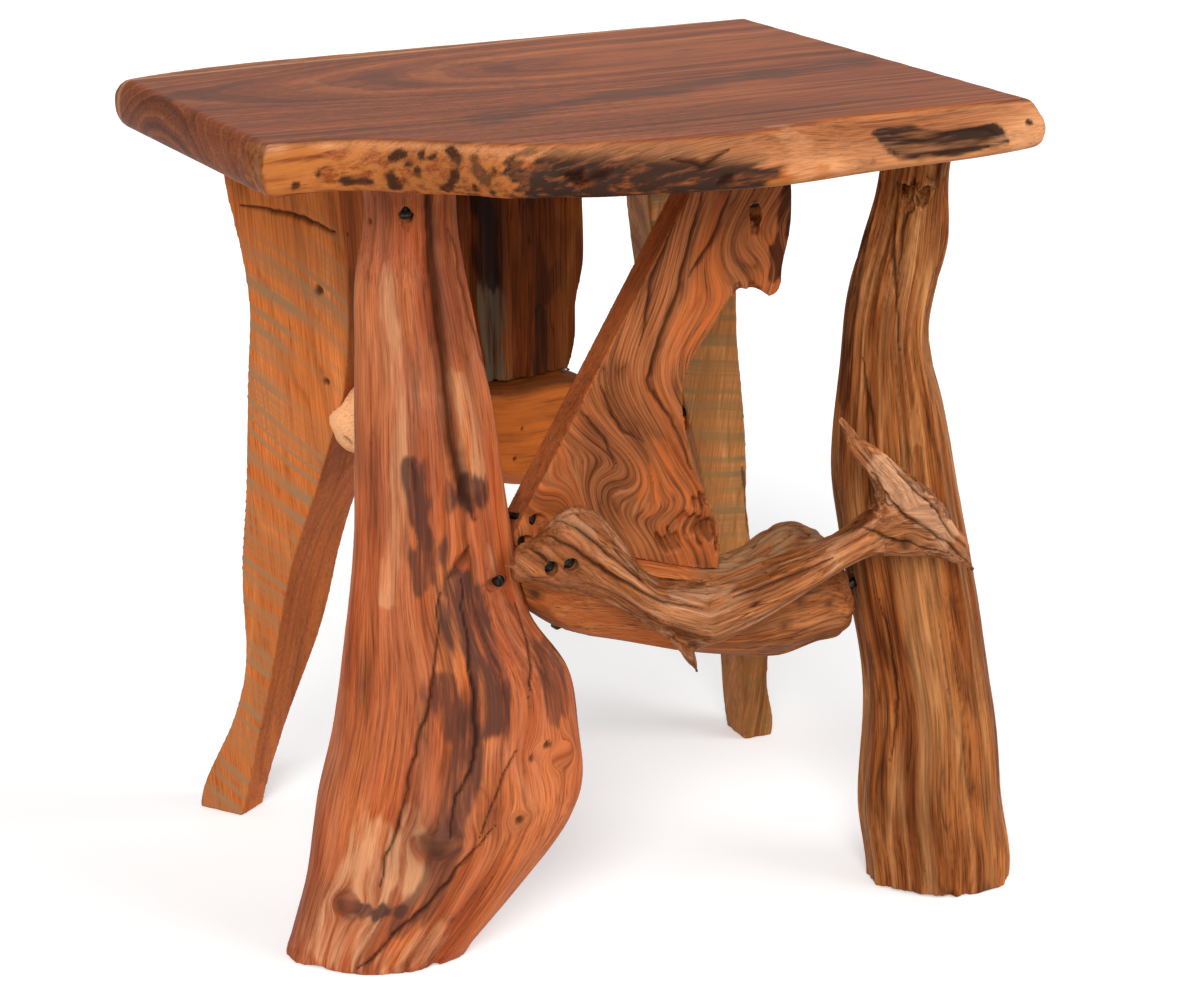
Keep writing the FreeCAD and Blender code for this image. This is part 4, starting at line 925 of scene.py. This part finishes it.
# The brace's grain flows through these, each a place across it and a height, and it curls at each
# hidden bud, which is a place, a radius and how many turns.
BRACE_FLOW = [(52, 290), (44, 340), (30, 372), (16, 402), (2, 425), (-3, 445), (2, 465), (12, 490),
              (24, 526), (36, 569), (46, 610)]
BRACE_BUDS = [((-23, -124, 358), 26, 0.24), ((-76, -111, 352), 20, -0.22),
              ((70, -148, 520), 36, -0.14), ((20, -134, 330), 22, 0.14)]
BRACE_CRACKS = [
    ([(40, -140, 592), (35, -139, 569), (29, -138, 548), (25, -137, 526), (21, -136, 504),
      (10, -133, 482), (3, -131, 460), (-3, -130, 438), (5, -132, 422), (18, -135, 402),
      (24, -137, 386), (31, -138, 366)], 1.5),
    ([(56, -145, 575), (51, -144, 554), (39, -141, 532), (28, -138, 514)], 1.5),
    ([(-39, -120, 441), (-29, -123, 417), (-22, -125, 400), (-6, -128, 390)], 1.1),
    ([(-52, -116, 418), (-45, -119, 411), (-34, -121, 395), (-27, -123, 376)], 1.1),
    ([(14, -133, 556), (11, -133, 540), (0, -130, 513), (-5, -129, 491), (-9, -128, 465)], 1.3)]
BRACE_TINTS = [
    ([(103, -157, 575), (102, -157, 543), (95, -155, 528), (91, -154, 512)], 9, 0.9, "stain"),
    ([(40, -140, 600), (75, -148, 600), (60, -145, 588)], 13, 0.85, "stain"),
    ([(-76, -111, 352), (-50, -118, 385), (-28, -123, 345)], 30, 0.4, "stain", 0.2),
    ([(46, -142, 535), (39, -141, 502), (30, -138, 475)], 13, 0.6, "bleach"),
    ([(10, -132, 375), (6, -131, 350)], 18, 0.55, "bleach"),
    ([(30, -138, 340), (37, -140, 312), (50, -144, 305)], 17, 0.7, "bleach")]
BRACE_CHIPS = [((37, -140, 342), 8, 4), ((30, -138, 325), 9, 5), ((45, -142, 315), 9, 6),
               ((15, -134, 313), 8, 4), ((53, -144, 306), 8, 5), ((78, -147, 554), 5, 5),
               ((77, -150, 545), 4, 3), ((76, -150, 500), 6, 3), ((65, -147, 500), 5, 3)]


def carve_brace():
    """The burl brace: grain that sweeps up its left edge and curls round hidden buds."""
    brace = Wood("brace_slab", 1.35)
    brace.grow_straight(UP, RAIL_ALONG, (0, -130, 0))
    brace.bend_grain(BRACE_FLOW)
    for bud in BRACE_BUDS:
        brace.swirl(*bud)
    face = brace.facing(RAIL_DEEP)
    # Painted light: the side faces, which lie in shade, are lightened.
    brace.lay("bleach", (1 - face) * 0.45)
    brace.lay("stain", face * brace.patches(22, 70, 89, 0.5, 0.75) * 0.2)
    brace.lay("bleach", face * brace.patches(20, 60, 90, 0.55, 0.8) * 0.6)
    brace.furrow(9, 100, 1.3, 81, where=face, tint=0.08)
    brace.furrow(3.8, 60, 0.6, 82, where=face * brace.patches(25, 90, 88, 0.3, 0.6), tint=0.12)
    seams = face * brace.patches(20, 60, 86, 0.5, 0.65)
    brace.furrow(6, 60, 1.0, 85, sharpness=0.35, where=seams, tint=0.8)
    brace.crest(7, 80, 87, 0.1, face)
    for places, width in BRACE_CRACKS:
        brace.split(places, width, 2.4, 0.95)
    for tint in BRACE_TINTS:
        brace.tint(*tint)
    for place, radius, depth in BRACE_CHIPS:
        brace.chip(place, radius, depth, 83, 0.7)
    brace.finish(burl_wood)


def carve_rear_board():
    """The weathered board: deep vertical strips with grey and black patches."""
    board = Wood("rear_board", 1.7)
    board.grow_straight(UP, RAIL_ALONG, (30, 180, 0))
    board.furrow(24, 300, 2.4, 91, tint=0.45)
    board.furrow(9, 160, 0.9, 92, tint=0.4)
    board.tint([(-10, 93, 455), (-2, 95, 400), (0, 96, 375)], 15, 0.75, "bleach")
    board.tint([(-19, 92, 560), (-12, 93, 495), (-6, 94, 470)], 15, 0.9, "stain")
    board.tint([(40, 103, 430), (42, 103, 380)], 8, 0.7, "stain")
    board.crest(14, 200, 93, 0.5, smooth_step(board.points[:, 0], 55, 75))
    board.finish(weathered_wood)


# The branch's runs, each with its half width.
BRANCH_RUNS = [
    ([(-120, -94, 377), (-80, -119, 338), (-41, -143, 300), (-18, -156, 280), (20, -173, 266),
      (70, -185, 281), (114, -195, 299), (152, -206, 317), (193, -223, 317), (224, -233, 282)], 26),
    ([(180, -218, 320), (161, -214, 354), (139, -210, 379), (116, -205, 410)], 15),
    ([(-5, -167, 272), (2, -168, 245), (15, -172, 219)], 11)]
BRANCH_CRACKS = [
    [(-108, -136, 330), (-103, -138, 326), (-98, -144, 319), (-88, -139, 308)],
    [(-88, -131, 349), (-71, -147, 339), (-51, -156, 319), (-31, -165, 299)],
    [(-97, -135, 340), (-76, -148, 325), (-52, -158, 304), (-19, -175, 284), (10, -188, 276)],
    [(30, -193, 283), (76, -204, 293), (110, -210, 305)],
    [(134, -210, 326), (144, -221, 319), (162, -228, 308), (195, -240, 298)],
    [(150, -218, 378), (162, -225, 364), (179, -234, 344), (203, -241, 311)],
    [(138, -214, 366), (145, -218, 353), (163, -231, 331), (194, -241, 309), (212, -242, 292)]]

BRANCH_TINTS = [
    ([(150, -220, 372), (156, -227, 354), (170, -234, 340), (190, -240, 318)], 13, 0.85, "crest"),
    ([(-84, -132, 350), (-66, -146, 338)], 10, 0.5, "crest"),
    ([(-5, -181, 287), (30, -190, 286)], 10, 0.5, "crest")]


def carve_branch():
    """The driftwood branch: brushed grain along its stem, its prong and its splinter."""
    branch = Wood("branch_rail", 1.15)
    branch.grow_along(BRANCH_RUNS)
    branch.part_round((164, -229, 309), 9)
    wedge = 1 - smooth_step(branch.points[:, 0], -75, -35)
    for spacing, length, depth, seed, tint in ((9, 120, 2.4, 101, 0.45), (3.8, 70, 1.1, 102, 0.5)):
        branch.furrow(spacing, length, depth, seed, where=1 - wedge, tint=tint)
        branch.furrow(spacing, length, depth / 4, seed, where=wedge, tint=tint)
    cracked = branch.patches(14, 80, 104, 0.45, 0.6)
    branch.furrow(5.5, 100, 1.6, 103, sharpness=0.35, where=cracked, tint=0.95)
    cracked = branch.patches(14, 90, 107, 0.3, 0.45)
    branch.furrow(5, 150, 1.5, 106, sharpness=0.22, where=cracked, tint=0.95)
    branch.crest(6, 90, 105, 0.55, 1 - wedge * 0.7)
    branch.lay("bleach", wedge * 0.7)
    branch.knot((164, -229, 309), 6, -4)
    branch.hole((162, -228, 308), 5, 3)
    for places in BRANCH_CRACKS:
        branch.split(places, 1.5, 3.2)
    for tint in BRANCH_TINTS:
        branch.tint(*tint)
    branch.finish(drift_wood)


def colour_screws():
    """The screws and lags are shown as they were turned, in black steel."""
    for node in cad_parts.values():
        if not node.hide_render:
            node.data.materials.clear()
            node.data.materials.append(black_steel)


# Surroundings

FLOOR_REACH = 60
FLOOR_WHITE = "#f2f2f2"
FLOOR_LIFT = 0.3
ROOM_LEVEL = 0.38


def sees_background(tree):
    """1 for the rays that show the background: the camera's, and those off metal and through glass."""
    seen = add(tree, "LightPath", out="Is Camera Ray")
    for ray in ("Is Glossy Ray", "Is Transmission Ray"):
        seen = add(tree, "Math", {"operation": "MAXIMUM"}, {0: seen, 1: add(tree, "LightPath", out=ray)})
    return seen


def lay_floor():
    """A wide white paper floor that keeps the table's shadow and reads as white to the camera."""
    bpy.ops.mesh.primitive_plane_add(size=FLOOR_REACH)
    floor = bpy.context.object
    floor.name = "floor"
    material = bpy.data.materials.new("white_paper")
    tree = empty_tree(material)
    paper = add(tree, "BsdfDiffuse", links={"Color": linear(FLOOR_WHITE)})
    strength = add(tree, "Math", TIMES, {0: sees_background(tree), 1: FLOOR_LIFT})
    lift = add(tree, "Emission", links={"Strength": strength})
    add(tree, "OutputMaterial", links={0: add(tree, "AddShader", links={0: paper, 1: lift})})
    floor.data.materials.append(material)


def add_sun(name, towards, strength, spread):
    """A soft lamp that shines from a direction, spread over so many degrees."""
    data = bpy.data.lights.new(name, "SUN")
    data.energy = strength
    data.angle = math.radians(spread)
    light = add_object(name, data)
    light.rotation_mode = "QUATERNION"
    light.rotation_quaternion = Vector(towards).to_track_quat("Z", "Y")


def light_room():
    """An even room that reads as pure white behind the table, with two broad lamps."""
    world = bpy.data.worlds.new("room")
    bpy.context.scene.world = world
    tree = empty_tree(world)
    room = add(tree, "Background", links={"Color": linear(WHITE), "Strength": ROOM_LEVEL})
    backdrop = add(tree, "Background", links={"Color": linear(WHITE), "Strength": 1.0})
    shown = add(tree, "MixShader", links={0: sees_background(tree), 1: room, 2: backdrop})
    add(tree, "OutputWorld", links={0: shown})
    add_sun("key", towards=(-0.7, -0.95, 0.72), strength=2.5, spread=30)
    add_sun("fill", towards=(0.75, -0.9, 0.6), strength=1.3, spread=40)


set_camera()
carve_top_slab()
carve_front_left_leg()
carve_front_right_leg()
carve_back_left_leg()
carve_back_right_leg()
carve_front_log()
carve_rear_log()
carve_brace()
carve_rear_board()
carve_branch()
colour_screws()
lay_floor()
light_room()
bpy.context.scene.view_settings.view_transform = "Standard"
